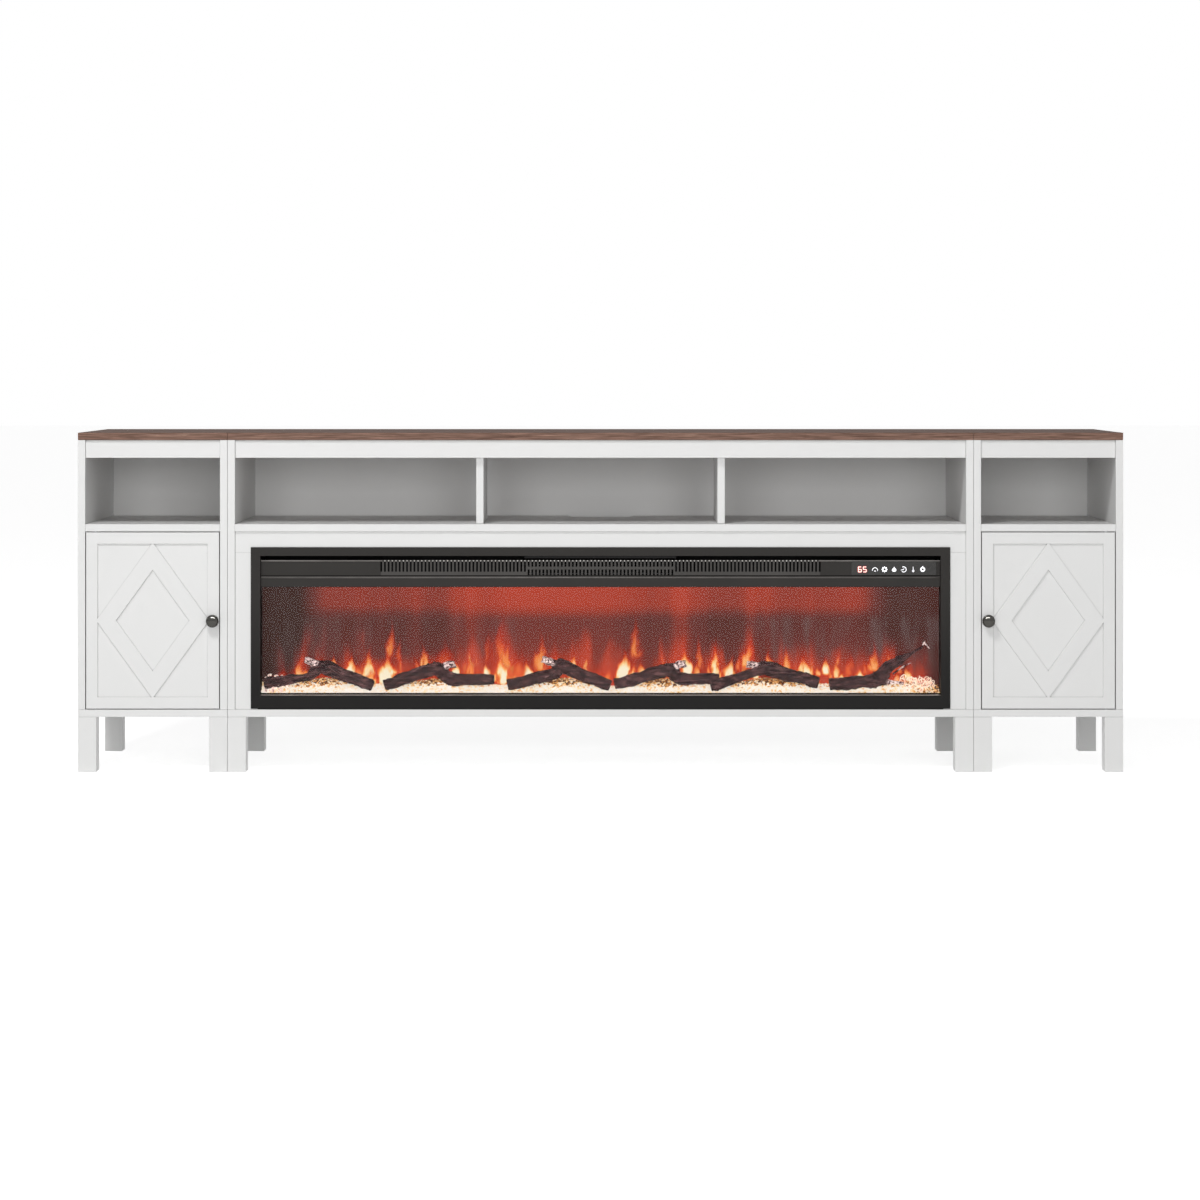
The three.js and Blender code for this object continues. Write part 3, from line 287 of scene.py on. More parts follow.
def black_powder_coat(material):
    """Fine-textured black powder coat: a soft charcoal with a grit that scatters its highlights."""
    tree, position = begin(material)
    enamel = bpy.context.scene.stand_finishes.enamel
    cloud = add(tree, "TexNoise", {"Vector": position, "Scale": 9.0, "Detail": 4.0})
    colour = add(tree, "Mix", {0: cloud, 6: enamel, 7: linear(enamel, 0.86)}, **BLEND)
    # Painted shade: the coat is drawn darker low on the front, where less light reaches it, and paler towards
    # the top
    painted_low_shade = patch(tree, (add(tree, "SeparateXYZ", {"Vector": position}, "Z"), 0.16, 0.42, 1.0, 0.25))
    # The real grit is 0.2 mm; drawn at 0.8 mm so that it shows
    grit = add(tree, "TexNoise", {"Vector": position, "Scale": 1 / (0.8 * MM), "Detail": 2.0})
    coat(tree, Roughness=0.55, IOR=1.3,
         Base_Color=add(tree, "Mix", {0: 1.0, 6: colour, 7: painted_low_shade}, **LAID),
         Normal=add(tree, "Bump", {"Height": grit, "Strength": 0.3, "Distance": 0.04 * MM}))


def grille_coat_with_paler_webs(material):
    """Powder coat of the outlet grille: charcoal, with the webs between the slots drawn paler."""
    tree, position = begin(material)
    parts = add(tree, "SeparateXYZ", {"Vector": position}).node.outputs
    away = add(tree, "Math", {0: parts["X"]}, operation="ABSOLUTE")
    # The slotted face above the band, between the plain ends, is drawn paler
    paler_web_field = patch(tree, (parts["Z"], 0.4275, 0.4295), (away, 0.481, 0.4785), ease="LINEAR")
    cloud = add(tree, "TexNoise", {"Vector": position, "Scale": 9.0, "Detail": 4.0})
    plain, pale = (
        add(tree, "ValToRGB", {0: cloud}, stops=[(0.3, low), (0.7, high)])
        for low, high in (("#2d2b29", "#312f2d"), ("#454341", "#4f4d4b")))
    coat(tree, Roughness=0.55, IOR=1.3, Base_Color=add(tree, "Mix", {0: paler_web_field, 6: plain, 7: pale}, **BLEND))


def painted_highlight_edge(material, low="#716d6a", high="#8a8683"):
    """Folded edges of the coated sheet: a paler grey than the faces, a painted highlight where the folds
    catch the light.
    """
    plain_finish(material, (30, 200, 200), 3.0, stops=[(0.3, low), (0.7, high)], Roughness=0.45, IOR=1.4)


def sheared_web_tip(material):
    """Sheared tips of the webs between the slots, which catch the light: nearly white."""
    painted_highlight_edge(material, "#d2cec9", "#ece9e4")


def painted_bead_highlight(material):
    """Rolled bead under the grille: a middle grey, a painted highlight along the rolled edge."""
    painted_highlight_edge(material, "#565351", "#6b6764")


def sill_painted_reflection(material):
    """Front sill of the ember tray: a plain satin grey, drawn pale as a painted reflection of the ember
    light.
    """
    painted_highlight_edge(material, "#aca6a1", "#bfb9b4")


def painted_shadow_line(material):
    """Painted shadow along the joints between sheets: nearly black, with no sheen."""
    plain_finish(material, (60,) * 3, stops=[(0.3, "#0c0b0b"), (0.7, "#161514")], Roughness=0.95,
                 Specular_IOR_Level=0.0)


def black_coated_sheet(material):
    """Black coated sheet steel of the casing: duller than the trim, with faint rolling marks."""
    plain_finish(material, (3, 3, 260), 4.0, stops=[(0.3, "#121212"), (0.7, "#1c1b1b")],
                 rough=(0.5, 0.68), IOR=1.5, Specular_IOR_Level=0.2)


def gloss_black_window(material):
    """Moulded gloss black plastic over the display: nearly black, with a wet look."""
    plain_finish(material, (30,) * 3, 3.0, stops=[(0.3, "#1e1c1a"), (0.8, "#262421")],
                 rough=(0.1, 0.22), IOR=1.49)


def clear_toughened_glass(material):
    """Low-reflecting toughened glass: clear, with a weak even reflection."""
    tree, _ = begin(material)
    coat(tree, Transmission_Weight=1.0, Roughness=0.0, IOR=1.14, Base_Color="#fbf6f4")


def smoked_mirror_acrylic(material):
    """Smoked acrylic flame screen, lit from behind: dark red brown, with a red band along its top."""
    tree, position = begin(material)
    parts = add(tree, "SeparateXYZ", {"Vector": position}).node.outputs
    across, height = parts["X"], parts["Z"]
    # Upright streaks 20 to 150 mm wide, wide clouds, plumes 40 mm apart, fine licks 14 mm apart and smoke
    # 40 mm apart
    streaks, wide, plumes, licks, smoke = (
        add(tree, "TexNoise", {
            "Vector": add(tree, "Mapping", {"Vector": position, "Scale": scale}),
            "Scale": 1.0, "Detail": detail, "Roughness": rough, "Distortion": warp})
        for scale, detail, rough, warp in (
            ((9.0, 1.0, 0.9), 3.0, 0.55, 0.0), ((2.6, 1.0, 1.5), 2.0, 0.5, 0.0),
            ((26.0, 1.0, 5.0), 2.0, 0.5, 0.4), ((64.0, 1.0, 22.0), 2.0, 0.5, 0.7),
            ((27.0, 1.0, 5.0), 2.0, 0.6, 0.0)))
    # The lit part of the screen, its heart left of the middle, and the red band along the top
    lit = patch(tree, (across, -0.67, -0.60), (across, 0.65, 0.55))
    heart = patch(tree, (across, -0.36, -0.20), (across, 0.14, 0.0, 0.35))
    brighter = add(tree, "Math", {0: heart, 1: 1.0}, operation="ADD")
    band = patch(tree, (height, 0.322, 0.364), lit, (wide, 0.35, 0.65, 0.85, 0.6), brighter)
    columns = patch(tree, (streaks, 0.47, 0.78, 0.85), lit)
    low_glow = patch(
        tree, (height, 0.320, 0.195, 0.75), (across, -0.72, -0.6), (across, 0.76, 0.66),
        (wide, 0.3, 0.7, 1.1, 0.6))
    # Blurred plumes that rise behind the flames, and fine licks of light close above the logs
    drop = patch(tree, (plumes, 0.3, 0.7, -0.06, 0.05), ease="LINEAR")
    uneven = add(tree, "Math", {0: height, 1: drop}, operation="ADD")
    ends = patch(tree, (across, -0.73, -0.66), (across, 0.745, 0.68))
    plume = patch(tree, (uneven, 0.272, 0.185), ends)
    lick = patch(tree, (licks, 0.44, 0.72), (uneven, 0.238, 0.185), ends)
    right = patch(tree, (across, 0.3, 0.55))
    level = total(
        tree, (band, 0.31), (columns, 0.22), (low_glow, 0.18), (plume, 0.34), (lit, 0.11), (heart, 0.32),
        (lick, 0.46), (right, 0.05))
    colour = add(tree, "ValToRGB", {0: level}, stops=[
        (0.0, "#38211d"), (0.2, "#70302a"), (0.44, "#b23c27"), (0.68, "#d64a30"), (0.8, "#ee6a3e"),
        (1.0, "#ffb866")])
    # Grey wisps of smoke, most of them in the right part
    sides = total(tree, (patch(tree, (across, 0.30, 0.42)), 0.36), (patch(tree, (across, -0.08, -0.2)), 0.12))
    wisp = patch(tree, (height, 0.205, 0.262), (height, 0.345, 0.318), sides, (smoke, 0.42, 0.68))
    coat(tree, Roughness=0.3, IOR=1.49, Specular_IOR_Level=0.1, Base_Color="#1a0f0d",
         Emission_Color=add(tree, "Mix", {0: wisp, 6: colour, 7: "#75696a"}, **BLEND),
         Emission_Strength=0.8 * bpy.context.scene.stand_fire.glow_strength)


def projected_flame(material):
    """Light of the flames: yellow white at the root, then orange and a red tip with soft edges."""
    tree, position = begin(material)
    flat = add(tree, "SeparateXYZ", {"Vector": add(tree, "UVMap", uv_map="tongue")}).node.outputs
    warmth = add(tree, "Attribute", out="Fac", attribute_name="warmth")
    # Wavering edge, with waves of about 12 mm, that shifts the middle of the tongue by 0.34 either way
    waver = add(tree, "TexNoise", {
        "Vector": add(tree, "Mapping", {"Vector": position, "Scale": (70, 1, 30)}),
        "Scale": 1.0, "Detail": 2.0, "Distortion": 0.8})
    shift = add(tree, "MapRange", {"Value": waver, "To Min": -0.84, "To Max": -0.16})
    pushed = add(tree, "Math", {0: flat["X"], 1: shift}, operation="ADD")
    reach = add(tree, "Math", {0: pushed}, operation="ABSOLUTE")
    level = patch(tree, (reach, 0.5, 0.04), (flat["Y"], 1.0, 0.25), (flat["Y"], 0.0, 0.22), warmth)
    coat(tree, Roughness=1.0, Specular_IOR_Level=0.0, Base_Color="#000000",
         Emission_Color=add(tree, "ValToRGB", {0: level}, stops=[
             (0.0, "#b42c1e"), (0.25, "#d4402a"), (0.45, "#ee6438"), (0.64, "#fc9f54"), (0.82, "#ffdd9c"),
             (1.0, "#fff7da")]),
         Alpha=add(tree, "ValToRGB", {0: level}, stops=[(0.0, 0.0), (0.3, 0.34), (0.55, 0.72), (0.85, 0.96)]),
         Emission_Strength=bpy.context.scene.stand_fire.flame_strength)


def charred_bark(material):
    """Moulded and painted resin logs: brown black bark with greyer ridges, and pale splintered ends."""
    tree, position = begin(material)
    ridges = add(tree, "TexNoise", {
        "Vector": add(tree, "Mapping", {"Vector": position, "Scale": (45, 160, 160)}),
        "Scale": 1.0, "Detail": 6.0, "Roughness": 0.65})
    bark = add(tree, "ValToRGB", {0: ridges}, stops=[(0.36, "#1b1013"), (0.5, "#362224"), (0.64, "#68494a")])
    # Specks about 2.5 mm wide
    specks = add(tree, "TexNoise", {"Vector": position, "Scale": 1 / (2.5 * MM), "Detail": 2.0})
    speck = add(tree, "ValToRGB", {0: specks}, stops=[(0.36, 0.45), (0.5, 1.0), (0.64, 1.9)])
    grainy = add(tree, "Mix", {0: 1.0, 6: bark, 7: speck}, **LAID)
    splinters = add(tree, "TexNoise", {
        "Vector": add(tree, "Mapping", {"Vector": position, "Scale": (130, 230, 230)}),
        "Scale": 1.0, "Detail": 3.0, "Distortion": 1.2})
    pale = add(tree, "ValToRGB", {0: splinters}, stops=[
        (0.44, "#2c151a"), (0.49, "#b08886"), (0.54, "#fff0ee")])
    ends = add(tree, "Attribute", out="Fac", attribute_name="pale")
    coat(tree, Roughness=0.85, IOR=1.45, Base_Color=add(tree, "Mix", {0: ends, 6: grainy, 7: pale}, **BLEND),
         Normal=add(tree, "Bump", {"Height": ridges, "Strength": 0.9, "Distance": 2.0 * MM}))


def ember_glow(material):
    """Cast ember stones lit from below: cream white, with warm yellow and orange stones among them."""
    tree, position = begin(material)
    # One colour for each cell, a little smaller than a stone
    cells = add(tree, "TexVoronoi", {"Vector": position, "Scale": 1 / (4.0 * MM)}, "Color")
    pick = add(tree, "SeparateColor", {"Color": cells}, "Red")
    cloud = add(tree, "TexNoise", {"Vector": position, "Scale": 22.0, "Detail": 2.0})
    parts = add(tree, "SeparateXYZ", {"Vector": position}).node.outputs
    # Browner up the mounds, a painted shade under the logs, and at the right end, with a slow drift along the
    # bed
    level = total(tree, (pick, 0.7), *((patch(tree, mask, ease="LINEAR"), 1.0) for mask in (
        (parts["Z"], 0.180, 0.192, 0.52), (cloud, 0.3, 0.7, 0.12, -0.12), (parts["X"], 0.668, 0.69, 0.34))))
    colour = add(tree, "ValToRGB", {0: level}, stops=[
        (0.0, "#fffdf6"), (0.52, "#fff6e6"), (0.64, "#ffe4ac"), (0.75, "#efb267"), (0.86, "#b87434"),
        (1.0, "#5c3018")])
    coat(tree, Roughness=0.6, IOR=1.45,
         Base_Color=add(tree, "Mix", {0: 1.0, 6: colour, 7: linear(0.4)}, **LAID),
         Emission_Color=colour, Emission_Strength=0.6 * bpy.context.scene.stand_fire.ember_strength)


def crushed_crystal(material):
    """Crushed clear acrylic at the end of the bed: pinkish white with darker facets."""
    tree, position = begin(material)
    facets = add(tree, "TexVoronoi", {"Vector": position, "Scale": 1 / (4 * MM)}, "Color")
    colour = add(tree, "ValToRGB", {0: add(tree, "SeparateColor", {"Color": facets}, "Red")}, stops=[
        (0.0, "#a88480"), (0.3, "#e2c6be"), (0.7, "#fbeade"), (1.0, "#fff6ee")])
    # The emission is painted light: the light of the bed glowing in the crystals
    coat(tree, Roughness=0.12, IOR=1.49, Base_Color=colour, Emission_Color=colour, Emission_Strength=0.35)


def glass_fibre(material):
    """Spun glass fibre: fine pinkish white threads that glow in the light of the bed."""
    tree, position = begin(material)
    glint = add(tree, "TexNoise", {"Vector": position, "Scale": 160.0, "Detail": 2.0})
    colour = add(tree, "ValToRGB", {0: glint}, stops=[(0.35, "#e8a888"), (0.55, "#fff2e0")])
    coat(tree, Roughness=0.3, IOR=1.5,
         Base_Color=add(tree, "Mix", {0: 1.0, 6: colour, 7: linear(0.5)}, **LAID),
         Emission_Color=colour, Emission_Strength=0.68)


def display_light(material, code, strength):
    """Lit mark behind the display window: bright in its middle, with a little unevenness."""
    plain_finish(material, (400,) * 3, 1.0, stops=[(0.3, linear(code, 0.72)), (0.6, code)],
                 onto="Emission_Color", Roughness=0.4, IOR=1.49, Base_Color=code, Emission_Strength=strength)


def red_display(material):
    display_light(material, "#9a1820", 0.6)


def pale_display(material):
    display_light(material, "#ffdcd2", 1.0)


def white_display(material):
    display_light(material, "#f6f6fa", 0.85)


def bright_reflector(material):
    """Polished reflector sheet of the flame spindle, with faint rolling waves."""
    plain_finish(material, (120,) * 3, 1.0, bump=(0.2, 0.3 * MM), Metallic=1.0, Base_Color="#d2d2d4",
                 Roughness=0.14)


def pressed_steel(material):
    """Pressed steel motor can: dull grey metal with drawing marks along its axis."""
    plain_finish(material, (60, 900, 900), rough=(0.3, 0.5), Metallic=1.0, Base_Color="#8d8f92")


def galvanised_sheet(material):
    """Galvanised sheet: grey metal with zinc spangle about 8 mm across."""
    tree, position = begin(material)
    spangle = add(tree, "TexVoronoi", {"Vector": position, "Scale": 1 / (8 * MM)}, "Color")
    pick = add(tree, "SeparateColor", {"Color": spangle}).node.outputs
    coat(tree, Metallic=1.0,
         Base_Color=add(tree, "ValToRGB", {0: pick["Red"]}, stops=[(0.0, "#8c8f92"), (1.0, "#abadaf")]),
         Roughness=add(tree, "MapRange", {"Value": pick["Green"], "To Min": 0.36, "To Max": 0.52}))


def heating_ceramic(material):
    """Heating ceramic between metal fins: matt dark grey, with a fine grain."""
    plain_finish(material, (1 / (1.2 * MM),) * 3, 3.0, stops=[(0.35, "#0b0a0a"), (0.65, "#141312")],
                 Roughness=0.8, IOR=1.5, Specular_IOR_Level=0.2)


def studio_floor(material):
    """Pale matt studio floor that looks white and keeps the shadow."""
    tree, position = begin(material)
    grain = add(tree, "TexNoise", {"Vector": position, "Scale": 3.0, "Detail": 2.0})
    coat(tree, Roughness=0.9, Specular_IOR_Level=0.1, Emission_Color="#ffffff",
         Base_Color=add(tree, "ValToRGB", {0: grain}, stops=[(0.3, "#f6f6f6"), (0.7, "#f9f9f9")]),
         Emission_Strength=add(tree, "Math", {0: seen_directly(tree), 1: 0.68}, operation="MULTIPLY"))


# The finish of each slot of the record
SLOT_FINISHES = {
    "white_lacquer": satin_white_lacquer, "walnut_foil": walnut_print_foil, "gunmetal": gunmetal_plating,
    "zinc_steel": zinc_plate, "black_enamel": black_powder_coat, "black_steel": black_coated_sheet,
    "black_gloss": gloss_black_window, "fire_glass": clear_toughened_glass,
    "smoked_acrylic": smoked_mirror_acrylic, "charred_resin": charred_bark,
    "foil_reflector": bright_reflector, "motor_plate": pressed_steel,
    "galvanised": galvanised_sheet, "heater_ceramic": heating_ceramic}


def finish(recipe):
    """The material of a recipe or a slot, made when it is first asked for."""
    recipe = SLOT_FINISHES.get(recipe, recipe)
    title = recipe.__name__
    if title not in bpy.data.materials:
        recipe(bpy.data.materials.new(title))
    return bpy.data.materials[title]


# Meshes

def show(mesh, name, *finishes):
    """An object at the origin for a mesh, with its finishes."""
    piece = bpy.data.objects.new(name, mesh)
    for title in finishes:
        mesh.materials.append(finish(title))
    bpy.context.scene.collection.objects.link(piece)
    return piece


def show_shape(shape, name, *finishes):
    """An object for a finished bmesh, with its faces turned outwards."""
    bmesh.ops.recalc_face_normals(shape, faces=shape.faces)
    mesh = bpy.data.meshes.new(name)
    shape.to_mesh(mesh)
    shape.free()
    return show(mesh, name, *finishes)


def mesh_piece(name, corners, faces, *finishes, smooth=False):
    """An object made of corners and faces."""
    mesh = bpy.data.meshes.new(name)
    mesh.from_pydata([tuple(corner) for corner in corners], [], faces)
    mesh.update()
    if smooth:
        mesh.shade_smooth()
    return show(mesh, name, *finishes)


def join_shapes(name, shapes, *finishes, smooth=False):
    """One piece from several (corners, faces, finish index) shapes."""
    corners, faces, kinds = [], [], []
    for points, polygons, kind in shapes:
        start = len(corners)
        corners += points
        faces += [tuple(start + index for index in polygon) for polygon in polygons]
        kinds += [kind] * len(polygons)
    piece = mesh_piece(name, corners, faces, *finishes, smooth=smooth)
    piece.data.polygons.foreach_set("material_index", kinds)
    return piece


def woven(rings, count, first=0, closed=False, flip=False):
    """Four-sided faces between rings or rows of the same count of points; flip turns them over."""
    faces = []
    for ring in range(rings - 1):
        low, high = first + ring * count, first + (ring + 1) * count
        for step in range(count if closed else count - 1):
            after = (step + 1) % count
            face = (low + step, high + step, high + after, low + after)
            faces.append((face[0], *face[:0:-1]) if flip else face)
    return faces


def swept(section, left, right):
    """A bar along X with a closed section of (depth, height) points, clockwise as seen from the right."""
    count = len(section)
    corners = [place(across, depth, height) for across in (left, right) for depth, height in section]
    faces = woven(2, count, closed=True)
    return corners, [tuple(range(count)), tuple(range(2 * count - 1, count - 1, -1)), *faces], 0


def oblong(front, back, low, high):
    """Section of a flat bar."""
    return [(front, low), (front, high), (back, high), (back, low)]


def mark(piece, name, values):
    """Keeps one number for each corner of a piece, which its finish reads."""
    piece.data.attributes.new(name, "FLOAT", "POINT").data.foreach_set("value", values)


def dress(node):
    """Gives a CAD node that stays the finish of its slot."""
    for slot in frame["nodes"][node].material_slots:
        slot.material = finish(SLOTS[node])


def softened(node, width, least=9 * MM):
    """A copy of a node whose long square edges are rounded, shown in its place."""
    shape = bmesh.new()
    shape.from_mesh(frame["nodes"][node].data)
    bmesh.ops.remove_doubles(shape, verts=shape.verts, dist=0.01 * MM)
    bmesh.ops.dissolve_limit(
        shape, angle_limit=math.radians(0.5), verts=shape.verts, edges=shape.edges,
        use_dissolve_boundaries=False)
    square = [
        edge for edge in shape.edges
        if edge.is_manifold and edge.calc_length() > least and edge.calc_face_angle(0) > math.radians(60)]
    bmesh.ops.bevel(
        shape, geom=square, offset=width, offset_type="OFFSET", segments=2, profile=0.5, affect="EDGES",
        clamp_overlap=False)
    piece = show_shape(shape, node + "_softened", SLOTS[node])
    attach(piece, BODIES[node])
    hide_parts(node)
    return piece


# Geometry Nodes

def open_tree(name, **inputs):
    """A geometry tree with a Geometry socket at each end, named inputs with their kinds, and a material."""
    tree = bpy.data.node_groups.new(name, "GeometryNodeTree")
    for title, kind in {"Geometry": "Geometry", **inputs, "Material": "Material"}.items():
        tree.interface.new_socket(
            name=title.replace("_", " "), in_out="INPUT", socket_type="NodeSocket" + kind)
    tree.interface.new_socket(name="Geometry", in_out="OUTPUT", socket_type="NodeSocketGeometry")
    return tree, add(tree, "NodeGroupInput").node.outputs


def close_tree(tree, geometry, material):
    solid = add(tree, "RealizeInstances", {"Geometry": geometry})
    painted = add(tree, "SetMaterial", {"Geometry": solid, "Material": material})
    add(tree, "NodeGroupOutput", {"Geometry": painted})
    return tree


def grown(name, host, tree, values):
    """Runs a tree on a host object and returns its result as a plain mesh object."""
    modifier = host.modifiers.new(tree.name, "NODES")
    modifier.node_group = tree
    sockets = {item.name: item.identifier for item in tree.interface.items_tree if item.in_out == "INPUT"}
    for title, value in values.items():
        modifier[sockets[title]] = value
    bpy.context.view_layer.update()
    evaluated = host.evaluated_get(bpy.context.evaluated_depsgraph_get())
    mesh = bpy.data.meshes.new_from_object(evaluated)
    host.modifiers.remove(modifier)
    bpy.data.objects.remove(host)
    return show(mesh, name)


def strewn(tree, given, points, shape, turns, sizes):
    """Copies of a shape on points, each turned and scaled at random between two limits."""
    turn, size = (
        add(tree, "FunctionNodeRandomValue", {
            0: low, 1: high, "Seed": given["Seed"]}, data_type="FLOAT_VECTOR")
        for low, high in (turns, sizes))
    return add(tree, "InstanceOnPoints", {
        "Points": points, "Instance": shape, "Rotation": turn, "Scale": size})


def scatter_tree(name):
    """Stones with random size and turn, spread over a surface at a least spacing."""
    tree, given = open_tree(name, Spacing="Float", Density="Float", Size="Float", Seed="Int")
    spots = add(tree, "DistributePointsOnFaces", {
        "Mesh": given["Geometry"], "Distance Min": given["Spacing"], "Density Max": given["Density"],
        "Seed": given["Seed"]}, distribute_method="POISSON")
    stone = add(tree, "MeshIcoSphere", {"Radius": given["Size"], "Subdivisions": 1})
    stones = strewn(
        tree, given, spots, stone, ((0, 0, 0), (2 * math.pi,) * 3), ((0.6, 0.6, 0.45), (1.35, 1.2, 1.0)))
    return close_tree(tree, stones, given["Material"])


def fibre_tree(name):
    """Loose open rings of thread, spread over a surface and turned at random."""
    tree, given = open_tree(name, Density="Float", Ring_Radius="Float", Thread_Radius="Float", Seed="Int")
    spots = add(tree, "DistributePointsOnFaces", {
        "Mesh": given["Geometry"], "Density": given["Density"], "Seed": given["Seed"]},
        distribute_method="RANDOM")
    jump = add(tree, "FunctionNodeRandomValue", {
        0: (0, 0, -5 * MM), 1: (0, 0, 7 * MM), "Seed": given["Seed"]}, data_type="FLOAT_VECTOR")
    heaped = add(tree, "SetPosition", {"Geometry": spots, "Offset": jump})
    ring = add(tree, "CurvePrimitiveCircle", {"Resolution": 22, "Radius": given["Ring Radius"]})
    part = add(tree, "TrimCurve", {"Curve": ring, 2: 0.0, 3: 0.83})
    rings = strewn(
        tree, given, heaped, part, ((0.9, -0.5, 0), (2.2, 0.5, 6.28)), ((0.6, 0.5, 0.6), (1.3, 1.2, 1.3)))
    thread = add(tree, "CurveToMesh", {
        "Curve": add(tree, "RealizeInstances", {"Geometry": rings}), "Fill Caps": True,
        "Profile Curve": add(
            tree, "CurvePrimitiveCircle", {"Resolution": 5, "Radius": given["Thread Radius"]})})
    return close_tree(tree, thread, given["Material"])


def fold_tree(name):
    """Short bars in a row along X, one on each web between two slots."""
    tree, given = open_tree(name, Count="Int", Pitch="Float", Bar="Vector")
    half = add(tree, "ShaderNodeMath", {0: given["Count"], 1: -0.5, 2: 0.5}, operation="MULTIPLY_ADD")
    start = add(tree, "ShaderNodeMath", {0: half, 1: given["Pitch"]}, operation="MULTIPLY")
    row = add(tree, "MeshLine", {
        "Count": given["Count"], "Start Location": add(tree, "ShaderNodeCombineXYZ", {"X": start}),
        "Offset": add(tree, "ShaderNodeCombineXYZ", {"X": given["Pitch"]})})
    middle = add(tree, "SampleIndex", {
        "Geometry": given["Geometry"], "Value": add(tree, "InputPosition")}, data_type="FLOAT_VECTOR")
    bars = add(tree, "InstanceOnPoints", {
        "Points": add(tree, "SetPosition", {"Geometry": row, "Offset": middle}),
        "Instance": add(tree, "MeshCube", {"Size": given["Bar"]})})
    return close_tree(tree, bars, given["Material"])


def screw_tree(name):
    """Pan-head screws with a crossed recess, one on each point, facing the back."""
    tree, given = open_tree(name, Head_Radius="Float", Head_Height="Float")
    head = add(tree, "MeshCylinder", {
        "Vertices": 20, "Radius": given["Head Radius"], "Depth": given["Head Height"]}, fill_type="NGON")
    crown = add(tree, "MeshUVSphere", {"Segments": 20, "Rings": 10, "Radius": given["Head Radius"]})
    heads = add(tree, "MeshBoolean", {"Mesh": head}, operation="UNION")
    tree.links.new(
        add(tree, "Transform", {"Geometry": crown, "Scale": (0.98, 0.98, 0.42)}), heads.node.inputs["Mesh"])
    bar, cross = (
        add(tree, "MeshCube", {"Size": size})
        for size in ((1.1 * MM, 4.2 * MM, 3 * MM), (4.2 * MM, 1.1 * MM, 3 * MM)))
    recess = add(tree, "JoinGeometry", {"Geometry": bar})
    tree.links.new(cross, recess.node.inputs["Geometry"])
    cut = add(tree, "MeshBoolean", {
        "Mesh 1": heads,
        "Mesh 2": add(tree, "Transform", {"Geometry": recess, "Translation": (0, 0, 2.4 * MM)})},
        operation="DIFFERENCE")
    screws = add(tree, "InstanceOnPoints", {
        "Points": given["Geometry"], "Instance": cut, "Rotation": (-math.pi / 2, 0, 0)})
    return close_tree(tree, screws, given["Material"])


# Cabinets

class STAND_OT_boards(bpy.types.Operator):
    """Lacquered boards and legs with softened edges, and the woodgrain top boards."""

    bl_idname = "stand.boards"
    bl_label = "Boards and legs"

    def execute(self, context):
        width = context.scene.stand_finishes.edge_round
        for node, slot in SLOTS.items():
            if "door" in node or slot not in ("white_lacquer", "walnut_foil"):
                continue
            if "back_panel" in node:
                dress(node)
                continue
            piece = softened(node, 0.25 * MM if node == "console_fire_surround" else width)
            if slot == "walnut_foil":
                self.band_edges(piece)
            if node.endswith(("outer_side", "inner_side")):
                self.plate_pins(piece)
        return {"FINISHED"}

    def band_edges(self, piece):
        """The upright edges of a top board carry an edge band, whose paler tone is partly painted light."""
        piece.data.materials.append(finish(lit_walnut_edge_band))
        for polygon in piece.data.polygons:
            if abs(polygon.normal.z) < 0.8:
                polygon.material_index = 1

    def plate_pins(self, piece):
        """The shelf pins, between the sides of a cabinet, are plated steel and not lacquered."""
        piece.data.materials.append(finish("zinc_steel"))
        pin_low, pin_high, inner, outer = (size * MM for size in (320.7, 325.9, 830.0, 1124.2))
        for polygon in piece.data.polygons:
            heights = [piece.data.vertices[index].co.z for index in polygon.vertices]
            if inner < abs(polygon.center.x) < outer and pin_low < min(heights) and max(heights) < pin_high:
                polygon.material_index = 1


class STAND_OT_doors(bpy.types.Operator):
    """Door slabs with their raised frames and diamonds, the turned knobs and the plated pivots."""

    bl_idname = "stand.doors"
    bl_label = "Doors"

    def execute(self, context):
        for door in ("left_door", "right_door"):
            softened(door + "_slab", 0.5 * MM)
            softened(door + "_overlay", 0.6 * MM, least=4 * MM)
            self.knob(door)
            dress(door + "_top_pivot")
            dress(door + "_bottom_pivot")
        return {"FINISHED"}

    def knob(self, door):
        """A turned knob: foot, waisted neck, rim and domed head, spun from (radius, rise) in millimetres."""
        low, high = (Vector(corner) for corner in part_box(door + "_knob"))
        middle = (low + high) / 2
        profile = [
            (8.0, 0.0), (8.0, 1.9), (7.4, 2.5), (6.2, 3.6), (5.3, 6.0), (5.0, 8.6), (5.4, 11.2), (6.8, 13.0),
            (9.6, 13.9), (12.4, 14.4), (13.6, 15.1), (14.0, 16.2), (14.0, 17.6), (13.6, 18.6), (12.7, 19.1),
            (12.3, 19.5), (12.0, 20.1), (10.6, 21.9), (8.6, 23.3), (6.2, 24.3), (3.4, 24.85)]
        turns = 56
        corners = [Vector((middle.x, high.y, middle.z)), Vector((middle.x, low.y, middle.z))]
        for radius, rise in profile:
            for turn in range(turns):
                angle = 2 * math.pi * turn / turns
                across, up = radius * MM * math.cos(angle), radius * MM * math.sin(angle)
                corners.append(Vector((middle.x + across, high.y - rise * MM, middle.z + up)))
        faces = woven(len(profile), turns, 2, closed=True, flip=True)
        last = 2 + (len(profile) - 1) * turns
        for turn in range(turns):
            after = (turn + 1) % turns
            faces += [(0, 2 + after, 2 + turn), (1, last + turn, last + after)]
        piece = mesh_piece(door + "_turned_knob", corners, faces, "gunmetal", smooth=True)
        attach(piece, door)
        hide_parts(door + "_knob")


# Fire front

def ring_shape(centre, outer, inner, start, end, steps, depth):
    """A flat arc of a ring in the plane of the display, from one angle to another in degrees."""
    corners = []
    for step in range(steps + 1):
        angle = math.radians(start + (end - start) * step / steps)
        for radius in (inner, outer):
            corners.append(
                place(centre[0] + radius * math.sin(angle), depth, centre[1] + radius * math.cos(angle)))
    return corners, woven(steps + 1, 2), 0


